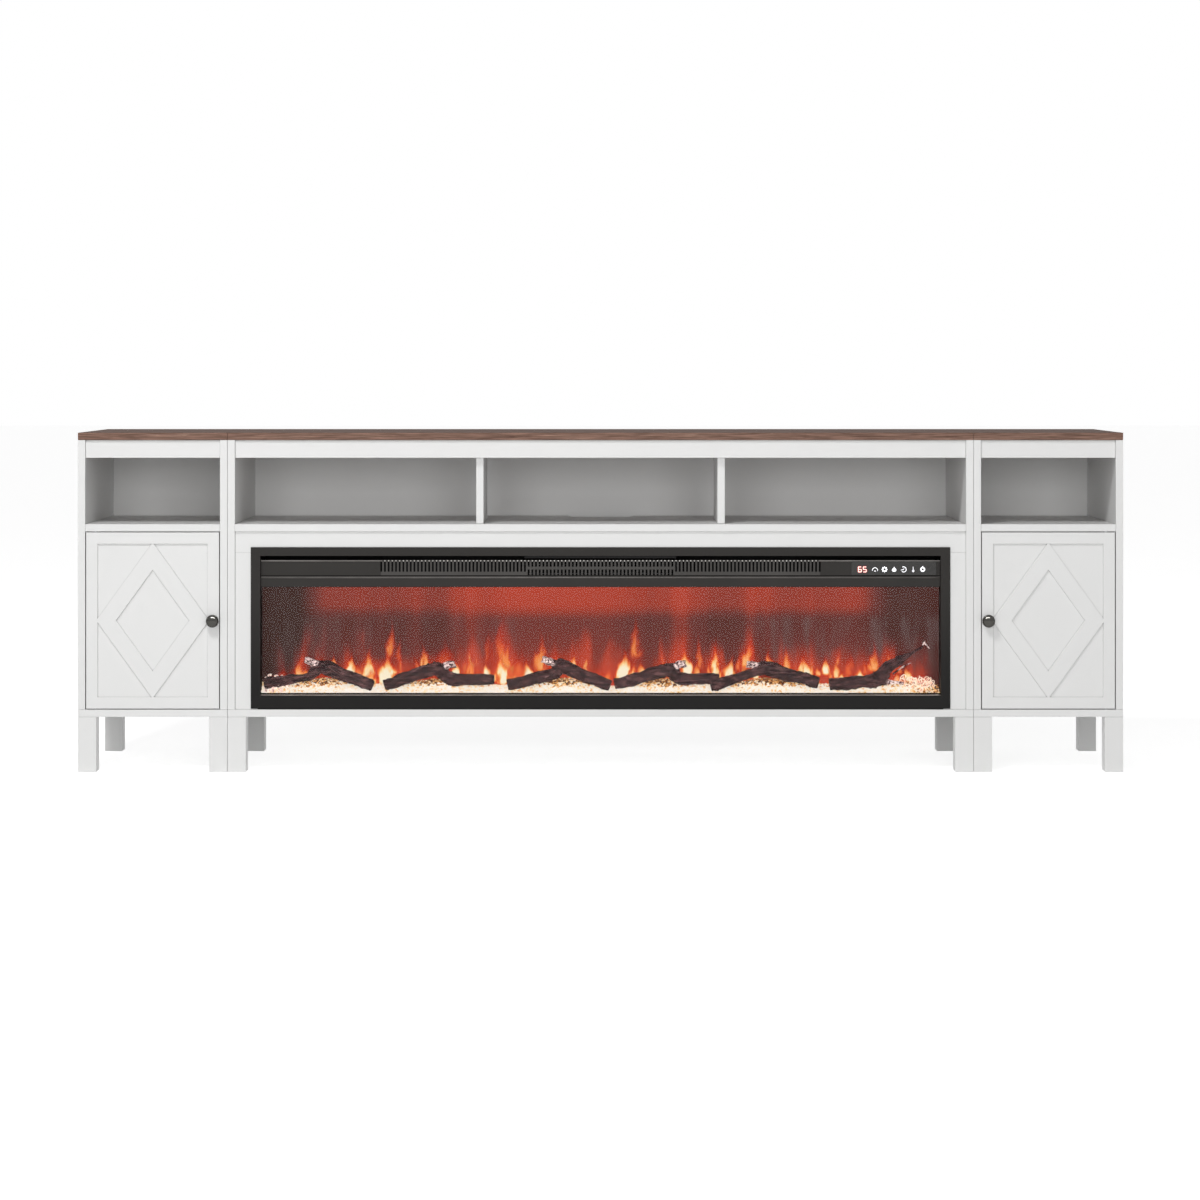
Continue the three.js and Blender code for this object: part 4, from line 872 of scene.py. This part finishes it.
def bar_shape(first, second, width, depth, kind=0):
    """A flat bar between two points in the plane of the display."""
    a, b = Vector(first), Vector(second)
    side = (b - a).orthogonal().normalized() * width / 2
    corners = [place(point.x, depth, point.y) for point in (a + side, a - side, b - side, b + side)]
    return corners, [(0, 1, 2, 3)], kind


class STAND_OT_fire_front(bpy.types.Operator):
    """Trim, outlet grille, casing with its screws, and the display with plain digits and marks."""

    bl_idname = "stand.fire_front"
    bl_label = "Fire front and casing"

    def execute(self, context):
        softened("fire_trim_frame", 0.4 * MM)
        dress("fire_control_panel")
        dress("fire_casing")
        for slot in frame["nodes"]["fire_outlet_grille"].material_slots:
            slot.material = finish(grille_coat_with_paler_webs)
        self.folds()
        self.digits()
        self.marks()
        self.screws()
        return {"FINISHED"}

    def folds(self):
        """Folded edges of the grille drawn pale as painted highlights: the top fold, one bar to each web, and
        the bead over the glass.
        """
        high, deep = 2.3, 0.5
        top = GRILLE_TOP + 0.1
        host = mesh_piece("fold_place", [place(0, GRILLE_FACE - deep / 2, top - high / 2)], [])
        bar = (0.6 * (SLOT_PITCH - SLOT_WIDTH) * MM, deep * MM, high * MM)
        webs = grown("grille_web_edges", host, fold_tree("fold_edges"), {
            "Count": SLOT_COUNT - 1, "Pitch": SLOT_PITCH * MM, "Bar": bar,
            "Material": finish(sheared_web_tip)})
        strip = oblong(GRILLE_FACE - deep, GRILLE_FACE, top - high, top)
        inner, outer = SLOT_PITCH * (SLOT_COUNT - 1) / 2 + SLOT_WIDTH / 2, GRILLE_HALF - 0.5
        plain = join_shapes(
            "grille_plain_edges", [swept(strip, -outer, -inner), swept(strip, inner, outer)],
            painted_highlight_edge)
        # The bead is a round bar on the fold that runs down to the glass, with a strip of painted shadow
        # above it
        reach, radius = GRILLE_HALF - 0.6, 1.7
        angles = [math.pi * turn / 6 for turn in range(12)]
        rod = [(9.0 + radius * math.cos(angle), 423.6 - radius * math.sin(angle)) for angle in angles]
        bead = join_shapes("grille_bead", [swept(rod, -reach, reach)], painted_bead_highlight, smooth=True)
        shadow_strip = join_shapes(
            "grille_shadow_strip", [swept(oblong(10.7, 11.1, 425.6, 428.0), -reach, reach)], painted_shadow_line)
        for piece in (webs, plain, bead, shadow_strip):
            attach(piece, "stand")

    def digits(self):
        """Two plain digits of seven bars each: pale bars on a wider red glow."""
        bars = {
            "top": ((0, 1), (1, 1)), "middle": ((0, 0), (1, 0)), "bottom": ((0, -1), (1, -1)),
            "upper left": ((0, 0), (0, 1)), "lower left": ((0, -1), (0, 0)),
            "upper right": ((1, 0), (1, 1)), "lower right": ((1, -1), (1, 0))}
        six = ("top", "upper left", "middle", "lower left", "lower right", "bottom")
        five = ("top", "upper left", "middle", "lower right", "bottom")
        wide, tall = 6.4, 5.4
        shapes = []
        for kind, width, depth in ((0, 4.2, PANEL_FACE - 0.1), (1, 1.7, PANEL_FACE - 0.2)):
            for left, lit in ((PANEL_RIGHT - 169.8, six), (PANEL_RIGHT - 159.0, five)):
                for title in lit:
                    first, second = (
                        (left + wide * across, PANEL_MARKS + tall * up) for across, up in bars[title])
                    shapes.append(bar_shape(first, second, width, depth, kind))
        piece = join_shapes("display_digits", shapes, red_display, pale_display)
        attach(piece, "stand")

    def marks(self):
        """Six plain marks for the touch keys: dome, gear, flame, swirl, thermometer and timer."""
        depth = PANEL_FACE - 0.15
        at = [PANEL_RIGHT - 133.5 + 20.85 * key for key in range(6)]
        # Rings: key, height, outer and inner radius, first and last angle, steps
        rings = [
            (0, -2.0, 6.4, 5.0, -100, 100, 18), (0, -3.6, 1.4, 0.0, 0, 360, 12), (1, 0, 4.9, 2.6, 0, 360, 20),
            (3, 0, 6.4, 4.9, -30, 220, 24), (4, -3.4, 2.5, 1.2, 0, 360, 18), (5, 0, 5.4, 2.4, 0, 360, 24)]
        # Bars: key, both ends and width; eight of them are the teeth of the gear
        bars = [
            (3, (-6.0, -1.4), (-0.6, -0.6), 1.3), (3, (-0.6, -0.6), (1.2, 2.0), 1.3),
            (4, (0, -1.2), (0, 6.0), 1.1), (5, (0, 5.2), (0, 7.0), 2.2)]
        for tooth in range(8):
            out = Vector((math.sin(math.pi * tooth / 4), math.cos(math.pi * tooth / 4)))
            bars.append((1, 4.5 * out, 6.6 * out, 1.8))
        flame = [
            (0.3, 6.4), (-1.0, 3.2), (-4.0, 0.9), (-4.9, -2.1), (-3.2, -4.6), (0.0, -5.3),
            (3.3, -4.6), (4.9, -2.2), (4.4, 0.7), (3.1, 2.6), (2.2, 1.0), (1.3, 3.2)]
        shapes = [(
            [place(at[2] + x, depth, PANEL_MARKS + z) for x, z in flame], [tuple(range(len(flame)))], 0)]
        shapes += [ring_shape((at[key], PANEL_MARKS + up), *sizes, depth) for key, up, *sizes in rings]
        for key, near, far, width in bars:
            middle = Vector((at[key], PANEL_MARKS))
            shapes.append(bar_shape(middle + Vector(near), middle + Vector(far), width, depth))
        piece = join_shapes("display_marks", shapes, white_display)
        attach(piece, "stand")

    def screws(self):
        """Sheet-metal screws round the back of the casing."""
        low, high = (Vector(corner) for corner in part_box("fire_casing"))
        rear, inset, count = FRONT + (CASING_REAR + 0.4) * MM, 20 * MM, 7
        points = []
        for step in range(count):
            across = low.x + inset + (high.x - low.x - 2 * inset) * step / (count - 1)
            points += [(across, rear, low.z + 12 * MM), (across, rear, high.z - 12 * MM)]
        host = mesh_piece("screw_places", points, [])
        piece = grown("casing_screws", host, screw_tree("sheet_metal_screws"), {
            "Head Radius": 3.6 * MM, "Head Height": 1.6 * MM, "Material": finish("zinc_steel")})
        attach(piece, "stand")


class STAND_OT_fire_works(bpy.types.Operator):
    """Finishes of the glass and the screen, and of the spindle, motor, blower and heater behind them."""

    bl_idname = "stand.fire_works"
    bl_label = "Fire works"

    def execute(self, context):
        for node in (
                "fire_flame_spindle", "fire_spindle_motor", "fire_blower_wheel", "fire_blower_housing",
                "fire_heater_element", "fire_glass", "fire_flame_screen"):
            dress(node)
        return {"FINISHED"}


# Ember bed and logs. The mound: share of the half width, share of its height. Limbs: shares of the half
# width, of the rise above the bed, of its depth and of the log radius
BED_TOP = [
    (-1, 0.7), (-0.93, 0.45), (-0.87, 0.7), (-0.82, 1), (-0.76, 0.7), (-0.68, 0.35), (-0.62, 0.35),
    (-0.55, 0.65), (-0.49, 0.9), (-0.42, 0.5), (-0.33, 0.25), (-0.27, 0.2), (-0.18, 0.6), (-0.11, 1),
    (-0.04, 0.65), (0.03, 0.1), (0.1, 0.45), (0.2, 0.9), (0.27, 0.5), (0.34, 0.2), (0.42, 0.65),
    (0.49, 1), (0.57, 0.65), (0.65, 0.35), (0.74, 0.3), (0.83, 0.55), (0.91, 0.5), (1, 0.2)]
LOGS = [
    [(-0.993, 0.05, 0.3, 0.95), (-0.925, 0.13, 0.32, 0.8), (-0.865, 0.2, 0.36, 0.66), (-0.822, 0.4, 0.4, 1.2),
     (-0.745, 0.2, 0.36, 1), (-0.672, 0.0, 0.3, 0.95)],
    [(-0.638, 0.0, 0.34, 0.95), (-0.57, 0.18, 0.38, 1), (-0.5, 0.35, 0.42, 1.1), (-0.476, 0.34, 0.44, 1.1),
     (-0.432, 0.14, 0.44, 1), (-0.314, 0.14, 0.4, 0.8)],
    [(-0.275, 0.03, 0.3, 0.9), (-0.205, 0.14, 0.34, 0.95), (-0.139, 0.27, 0.38, 1), (-0.113, 0.42, 0.4, 1.15),
     (-0.04, 0.2, 0.36, 1), (0.029, 0.0, 0.3, 0.95)],
    [(0.041, 0.03, 0.42, 0.9), (0.115, 0.17, 0.42, 1), (0.192, 0.34, 0.44, 1.1), (0.212, 0.32, 0.44, 1.1),
     (0.245, 0.14, 0.5, 1), (0.351, 0.16, 0.56, 0.8)],
    [(0.325, 0.0, 0.28, 0.95), (0.354, 0.05, 0.3, 0.9), (0.446, 0.28, 0.36, 0.72), (0.489, 0.38, 0.4, 1.2),
     (0.57, 0.22, 0.36, 1), (0.644, 0.07, 0.32, 0.95)],
    [(0.676, 0.02, 0.36, 1.1), (0.747, 0.07, 0.38, 1.05), (0.794, 0.1, 0.4, 1.1), (0.823, 0.16, 0.42, 1.3),
     (0.844, 0.36, 0.46, 1.0), (0.872, 0.5, 0.5, 0.85), (0.896, 0.61, 0.52, 0.55), (0.918, 0.7, 0.55, 0.26),
     (0.95, 0.83, 0.6, 0.16)]]
TWIGS = [
    [(-0.822, 0.42, 0.4, 0.7), (-0.845, 0.5, 0.36, 0.64), (-0.872, 0.575, 0.32, 0.56)],
    [(-0.476, 0.38, 0.44, 0.7), (-0.454, 0.44, 0.42, 0.64), (-0.43, 0.48, 0.4, 0.58)],
    [(-0.118, 0.44, 0.4, 0.7), (-0.145, 0.52, 0.36, 0.62), (-0.171, 0.585, 0.32, 0.56)],
    [(0.208, 0.38, 0.44, 0.7), (0.226, 0.44, 0.42, 0.64), (0.25, 0.49, 0.4, 0.58)],
    [(0.482, 0.4, 0.4, 0.7), (0.455, 0.45, 0.36, 0.62), (0.432, 0.475, 0.32, 0.56)],
    [(0.864, 0.25, 0.5, 0.16), (0.892, 0.4, 0.5, 0.1), (0.917, 0.5, 0.48, 0.07)],
    [(0.953, 0.96, 0.58, 0.1), (0.958, 0.93, 0.58, 0.14), (0.974, 0.8, 0.58, 0.07)],
    [(0.949, 0.82, 0.58, 0.12), (0.955, 0.9, 0.58, 0.14), (0.96, 0.97, 0.58, 0.1)],
    [(0.823, 0.1, 0.42, 0.7), (0.86, 0.08, 0.34, 0.34), (0.895, 0.06, 0.3, 0.22)]]


def eased(share):
    """A share that starts and ends gently."""
    return (3 - 2 * share) * share * share


def bed_top(across):
    """Height of the mound at a share of the half width, as a share of the mound."""
    for (left, low), (right, high) in zip(BED_TOP, BED_TOP[1:]):
        if across <= right:
            return low + (high - low) * eased((across - left) / (right - left))
    return BED_TOP[-1][1]


def smooth_path(points, steps):
    """Points of a Catmull-Rom curve through (x, y, z, radius) points, a number of steps to each span."""
    values = [Vector(point) for point in points]
    ends = [2 * values[0] - values[1]] + values + [2 * values[-1] - values[-2]]
    path = []
    for span in range(1, len(ends) - 2):
        a, b, c, d = ends[span - 1:span + 3]
        for step in range(steps):
            t = step / steps
            path.append(
                b + (c - a) * t / 2 + (a - b * 2.5 + c * 2 - d / 2) * t * t
                + (b * 1.5 - a / 2 - c * 1.5 + d / 2) * t ** 3)
    path.append(values[-1])
    return path


def bark_limb(points, sides, steps, seed, jagged):
    """A closed limb with ridged bark along a curve, and with flat or jagged sawn ends."""
    path = smooth_path(points, steps)
    rings = len(path)
    corners = []
    for index, spot in enumerate(path):
        along = (path[min(index + 1, rings - 1)] - path[max(index - 1, 0)]).xyz.normalized()
        across = Vector((0, 1, 0)).cross(along).normalized()
        over = along.cross(across)
        pinch = 0.93 if index in (0, rings - 1) else 1.0
        for side in range(sides):
            angle = 2 * math.pi * side / sides
            around = Vector((math.cos(angle), math.sin(angle), 0))
            lobes = 0.09 * math.sin(3 * angle + 2 * index / steps * 2)
            bark = noise.noise(Vector((around.x * 3.2, around.y * 3.2 + seed, index * 0.16)))
            grit = noise.noise(Vector((around.x * 4.0 + seed, around.y * 4.0, index * 0.7)))
            reach = spot.w * pinch * (1 + lobes + 0.3 * bark + 0.22 * grit)
            ragged = jagged * spot.w * grit if index == rings - 1 else 0.0
            corners.append(spot.xyz + (across * around.x + over * around.y) * reach + along * ragged)
    faces = woven(rings, sides, closed=True, flip=True)
    corners += [path[0].xyz, path[-1].xyz]
    first, last = rings * sides, rings * sides + 1
    for side in range(sides):
        after = (side + 1) % sides
        faces += [(first, after, side), (last, (rings - 1) * sides + side, (rings - 1) * sides + after)]
    return corners, faces, 0


def limb_points(shares):
    points = []
    for across, up, back, thick in shares:
        spot = place(
            across * WINDOW_HALF, BED_FRONT + back * BED_DEPTH, BED_BASE + LOG_RADIUS / 2 + up * LOG_RISE)
        points.append((*spot, thick * LOG_RADIUS * MM))
    return points


class STAND_OT_logs(bpy.types.Operator):
    """Six barked logs with broken twigs that have pale ends."""

    bl_idname = "stand.logs"
    bl_label = "Logs"

    def execute(self, context):
        shapes, pale = [], []
        limbs = [(log, 32, 14, 0.0) for log in LOGS] + [(twig, 16, 8, 0.8) for twig in TWIGS]
        for seed, (shares, sides, steps, jagged) in enumerate(limbs):
            shapes.append(bark_limb(limb_points(shares), sides, steps, 3.7 * seed, jagged))
            count = len(shapes[-1][0])
            # A twig turns pale from a third of its length on
            pale += [
                max(0.0, min(1.0, (index / count - 0.3) * 9)) if jagged else 0.0 for index in range(count)]
        piece = join_shapes("bark_logs", shapes, "charred_resin", smooth=True)
        mark(piece, "pale", pale)
        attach(piece, "stand")
        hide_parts("fire_log_set")
        return {"FINISHED"}


class STAND_OT_ember_bed(bpy.types.Operator):
    """The sloping ember bed with its tray, stones, crystals and glass fibre."""

    bl_idname = "stand.ember_bed"
    bl_label = "Ember bed"

    def execute(self, context):
        fire = context.scene.stand_fire
        self.bed()
        self.tray()
        # Ends of the ground in shares, its columns, rows and lift, and the sizes of what lies on it
        for name, ground, tree, look, step, sizes in (
                ("ember_stones", (-1.0, 1.0, 260, 10, 0.6), scatter_tree, ember_glow, 0,
                 {"Spacing": fire.stone_spacing, "Density": 60000.0, "Size": fire.stone_size}),
                ("end_crystals", (-0.998, -0.925, 16, 8, 6.0), scatter_tree, crushed_crystal, 1,
                 {"Spacing": 6.5 * MM, "Density": 16000.0, "Size": 4.6 * MM}),
                ("heaped_crystals", (-0.982, -0.945, 6, 8, 15.0), scatter_tree, crushed_crystal, 3,
                 {"Spacing": 7.0 * MM, "Density": 9000.0, "Size": 4.2 * MM}),
                ("end_glass_fibre", (0.885, 0.985, 12, 8, 6.0), fibre_tree, glass_fibre, 2,
                 {"Density": 15000.0, "Ring Radius": 6.6 * MM, "Thread Radius": 0.95 * MM})):
            host = self.surface(name + "_ground", *ground)
            piece = grown(
                name, host, tree(name), {**sizes, "Seed": fire.seed + step, "Material": finish(look)})
            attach(piece, "stand")
        return {"FINISHED"}

    def spot(self, across, share, lift):
        """A point on the bed: it climbs from the tray's sill at the front to the mound in the middle."""
        sill, top = BED_BASE - 8.5, BED_BASE + MOUND * bed_top(across)
        bump = 1.3 * noise.noise(Vector((across * 60, share * 5, 4.2)))
        height = sill + (top - sill) * eased(min(1.0, share / 0.62)) + bump + lift
        return place(across * (BED_HALF - 3.5), BED_FRONT + 0.8 + share * (BED_DEPTH - 1.6), height)

    def surface(self, name, left, right, columns, rows, lift):
        corners = []
        for column in range(columns + 1):
            across = left + (right - left) * column / columns
            corners += [self.spot(across, row / rows, lift) for row in range(rows + 1)]
        return mesh_piece(name, corners, woven(columns + 1, rows + 1))

    def bed(self):
        """The closed body of the bed."""
        top = self.surface("bed_top", -1.0, 1.0, 300, 12, 0.0)
        shape = bmesh.new()
        shape.from_mesh(top.data)
        bpy.data.objects.remove(top)
        rim = [edge for edge in shape.edges if edge.is_boundary]
        skirt = bmesh.ops.extrude_edge_only(shape, edges=rim)["geom"]
        for part in skirt:
            if isinstance(part, bmesh.types.BMVert):
                part.co.z = (BED_BASE - 20) * MM
        bmesh.ops.contextual_create(
            shape, geom=[part for part in skirt if isinstance(part, bmesh.types.BMEdge)])
        piece = show_shape(shape, "ember_bed_base", ember_glow)
        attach(piece, "stand")
        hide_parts("fire_log_set")

    def tray(self):
        """A folded sheet under the bed: a front sill with a rolled top edge, a floor and a rear upstand."""
        sill_low, sill_high, front = 164.1, 167.0, 16.4
        section = [
            (front, 137.8), (front, sill_low), (front, sill_high), (front, 169.6), (16.7, 170.4),
            (17.4, 170.7), (18.1, 170.4), (18.4, 169.6), (18.4, 140.4), (68.4, 140.4), (68.4, 166.5),
            (70.4, 166.5), (70.4, 137.8)]
        tray = join_shapes(
            "ember_tray", [swept(section, -BED_HALF, BED_HALF)], "black_steel", sill_painted_reflection, painted_shadow_line)
        # On the front faces the sill band is a painted reflection of the ember light, and the faces above and
        # below it are nearly black, a painted shadow
        for polygon in tray.data.polygons:
            if polygon.center.y < FRONT + (front + 1.8) * MM and abs(polygon.normal.x) < 0.1:
                polygon.material_index = 1 if sill_low < polygon.center.z / MM < sill_high else 2
        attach(tray, "stand")
        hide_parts("fire_log_set")


# Flames: place across, foot and tip above the floor, width and lean in millimetres, and warmth
FLAMES = [
    (-702, 190, 222, 30, 4, 0.35), (-664, 189, 250, 30, 8, 0.62), (-618, 210, 249, 22, 4, 0.45),
    (-588, 208, 252, 16, 0, 0.85), (-551, 196, 255, 24, 4, 0.9), (-514, 190, 270, 32, 11, 0.75),
    (-463, 232, 330, 22, 5, 0.5), (-472, 173, 258, 44, 8, 0.98), (-438, 188, 223, 18, -2, 0.85),
    (-407, 190, 228, 30, 0, 0.4), (-386, 212, 278, 22, -11, 0.6), (-345, 212, 284, 34, 3, 0.35),
    (-317, 190, 242, 26, -13, 0.98), (-287, 198, 258, 22, -6, 0.5), (-253, 190, 240, 24, 5, 0.98),
    (-250, 222, 315, 18, 2, 0.35), (-216, 173, 335, 50, 3, 0.55), (-216, 174, 258, 32, 0, 0.95),
    (-181, 202, 252, 22, -3, 0.5), (-161, 187, 243, 27, -3, 0.98), (-130, 198, 307, 30, -5, 0.58),
    (-128, 193, 228, 17, 2, 0.9), (-96, 212, 262, 18, -5, 0.5), (-59, 206, 262, 16, -3, 0.75),
    (-10, 188, 226, 36, 0, 0.42), (14, 186, 228, 30, 5, 0.5), (50, 184, 264, 32, 3, 0.98),
    (75, 230, 339, 28, 5, 0.5), (71, 192, 238, 18, 4, 0.7), (92, 196, 240, 20, -4, 0.75),
    (130, 200, 240, 26, 4, 0.35), (189, 194, 272, 32, -6, 0.88), (219, 206, 302, 18, -6, 0.45),
    (253, 191, 280, 19, 2, 0.8), (283, 191, 252, 28, 12, 0.85), (322, 212, 294, 24, 13, 0.62),
    (340, 196, 224, 22, 0, 0.8), (373, 212, 263, 18, -2, 0.68), (411, 209, 277, 17, -2, 0.58),
    (453, 191, 254, 36, -9, 0.85), (495, 203, 248, 21, 0, 0.85), (522, 194, 243, 19, -8, 0.7),
    (532, 188, 215, 22, 0, 0.9), (549, 198, 262, 20, 0, 0.42), (571, 188, 226, 24, 4, 0.95),
    (603, 205, 277, 26, 0, 0.58), (640, 206, 267, 24, -8, 0.62), (652, 182, 214, 26, 0, 0.98),
    (677, 186, 230, 30, 3, 0.8), (714, 184, 214, 28, 3, 0.4)]


class STAND_OT_flames(bpy.types.Operator):
    """Tongues of projected flame in front of the screen, each with a wide red haze behind it."""

    bl_idname = "stand.flames"
    bl_label = "Flames"

    def execute(self, context):
        haze = []
        for flame in sorted(FLAMES):
            if not haze or flame[0] - haze[-1][0] > 40:
                haze.append(flame)
        # A smaller tongue beside each bright one, but for those at the middle
        twins = []
        for across, foot, tip, width, lean, warm in FLAMES:
            if warm >= 0.5 and not 0 < across < 100:
                side = 1 if (across // 7) % 2 else -1
                twins.append((
                    across + side * 0.75 * width, foot - 2, foot + 0.62 * (tip - foot), 0.55 * width,
                    lean + 5 * side, 0.72 * warm))
        self.tongues("flame_haze", haze, 2.4, 1.3, 14, 0.42, SCREEN_FRONT - 0.12)
        self.tongues("flame_tongues", FLAMES, 1.65, 1.15, 5, 1.2, SCREEN_FRONT - 0.4)
        self.tongues("flame_twins", twins, 1.65, 1.15, 4, 1.2, SCREEN_FRONT - 0.7)
        return {"FINISHED"}

    def tongues(self, name, flames, wide, tall, sink, heat, depth):
        """Sheets of flame, one behind another, wider and taller than their places say, with a sunken foot."""
        rng = random.Random(11)
        rows, columns = 18, 6
        corners, faces, sheet, hot = [], [], [], []
        for index, (across, foot, tip, width, lean, warm) in enumerate(flames):
            low = max(foot - sink, 170.0)
            high = foot + (tip - foot) * tall
            bend = rng.uniform(-0.25, 0.25) * width
            faces += woven(rows + 1, columns + 1, len(corners), flip=True)
            for row in range(rows + 1):
                v = row / rows
                bulge = 0.35 + 0.65 * math.sin(math.pi * min(1.0, v * 1.15 + 0.2))
                half = max(width * wide / 2 * bulge * (1 - v ** 3), 0.4)
                middle = across + lean * v * v + bend * math.sin(2.4 * math.pi * v) * v
                for column in range(columns + 1):
                    u = column / columns
                    corners.append(
                        place(middle + (2 * u - 1) * half, depth - 0.004 * index, low + (high - low) * v))
                    sheet.append((u, v))
                    hot.append(warm * heat)
        piece = mesh_piece(name, corners, faces, projected_flame)
        layer = piece.data.uv_layers.new(name="tongue")
        for loop in piece.data.loops:
            layer.data[loop.index].uv = sheet[loop.vertex_index]
        mark(piece, "warmth", hot)
        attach(piece, "stand")


# Studio

class STAND_OT_studio(bpy.types.Operator):
    """Pale floor, even light with two large soft lamps and a gloss card, and the camera."""

    bl_idname = "stand.studio"
    bl_label = "Studio"

    def execute(self, context):
        scene = context.scene
        studio = scene.stand_studio
        reach = 40.0
        ground = [(-reach, -reach, 0), (reach, -reach, 0), (reach, reach, 0), (-reach, reach, 0)]
        mesh_piece("studio_floor", ground, [(0, 1, 2, 3)], studio_floor)

        scene.world = bpy.data.worlds.new("studio_light")
        scene.world.use_nodes = True
        tree = scene.world.node_tree
        tree.nodes.clear()
        strength = add(tree, "MapRange", {"Value": seen_directly(tree), "To Min": studio.sky, "To Max": 1.0})
        light = add(tree, "Background", {"Color": linear(1.0), "Strength": strength})
        add(tree, "OutputWorld", {"Surface": light})

        self.lamp("key_lamp", (-1.3, -3.2, 4.3), (0, -0.1, 0.45), 1.2, 0.8, studio.key)
        front = self.lamp("front_lamp", (0, -6.2, 1.25), (0, 0, 0.5), 5.0, 1.8, studio.fill)
        front.visible_glossy = False
        # A card that only the knobs reflect, for their bright upper edge
        card = self.lamp("gloss_card", (-0.3, -3.0, 4.3), (0, -0.2, 0.35), 5.4, 2.1, studio.card)
        card.visible_diffuse = False
        knobs = bpy.data.collections.new("knobs")
        for door in ("left_door", "right_door"):
            knobs.objects.link(bpy.data.objects[door + "_turned_knob"])
        card.light_linking.receiver_collection = knobs

        camera = bpy.data.objects.new("camera", bpy.data.cameras.new("camera"))
        camera.data.sensor_width = 36
        camera.data.lens = studio.focal
        camera.data.shift_x = -0.5 / 1200
        camera.data.shift_y = (studio.horizon - 600) / 1200
        camera.data.clip_end = 200
        camera.location = (0, FRONT - studio.distance, studio.height)
        camera.rotation_euler = (math.pi / 2, 0, 0)
        scene.collection.objects.link(camera)
        scene.camera = camera
        scene.view_settings.view_transform = "Standard"
        return {"FINISHED"}

    def lamp(self, name, spot, aim, width, height, power):
        """A rectangular lamp at a spot, turned to what it aims at."""
        data = bpy.data.lights.new(name, "AREA")
        data.shape = "RECTANGLE"
        data.size = width
        data.size_y = height
        data.energy = power
        lamp = bpy.data.objects.new(name, data)
        lamp.location = spot
        lamp.rotation_euler = (Vector(aim) - Vector(spot)).to_track_quat("-Z", "Y").to_euler()
        bpy.context.scene.collection.objects.link(lamp)
        return lamp


class STAND_PT_panel(bpy.types.Panel):
    """The stand's pieces and their sizes and colours."""

    bl_idname = "STAND_PT_panel"
    bl_label = "Fireplace stand"
    bl_space_type = "VIEW_3D"
    bl_region_type = "UI"
    bl_category = "Stand"

    def draw(self, context):
        layout = self.layout
        for group in (context.scene.stand_finishes, context.scene.stand_fire, context.scene.stand_studio):
            box = layout.box()
            for name in group.__annotations__:
                box.prop(group, name)
        for piece in PIECES:
            layout.operator(piece.bl_idname)


PIECES = (
    STAND_OT_boards, STAND_OT_doors, STAND_OT_fire_front, STAND_OT_fire_works,
    STAND_OT_ember_bed, STAND_OT_logs, STAND_OT_flames, STAND_OT_studio)
GROUPS = {"stand_finishes": StandFinishes, "stand_fire": StandFire, "stand_studio": StandStudio}


def register():
    for part in (*GROUPS.values(), *PIECES, STAND_PT_panel):
        bpy.utils.register_class(part)
    for name, group in GROUPS.items():
        setattr(bpy.types.Scene, name, bpy.props.PointerProperty(type=group))


def unregister():
    for name in GROUPS:
        delattr(bpy.types.Scene, name)
    for part in (STAND_PT_panel, *reversed(PIECES), *reversed(GROUPS.values())):
        bpy.utils.unregister_class(part)


def main():
    register()
    for step in ("boards", "doors", "fire_front", "fire_works", "ember_bed", "logs", "flames", "studio"):
        getattr(bpy.ops.stand, step)()


if __name__ == "__main__":
    main()
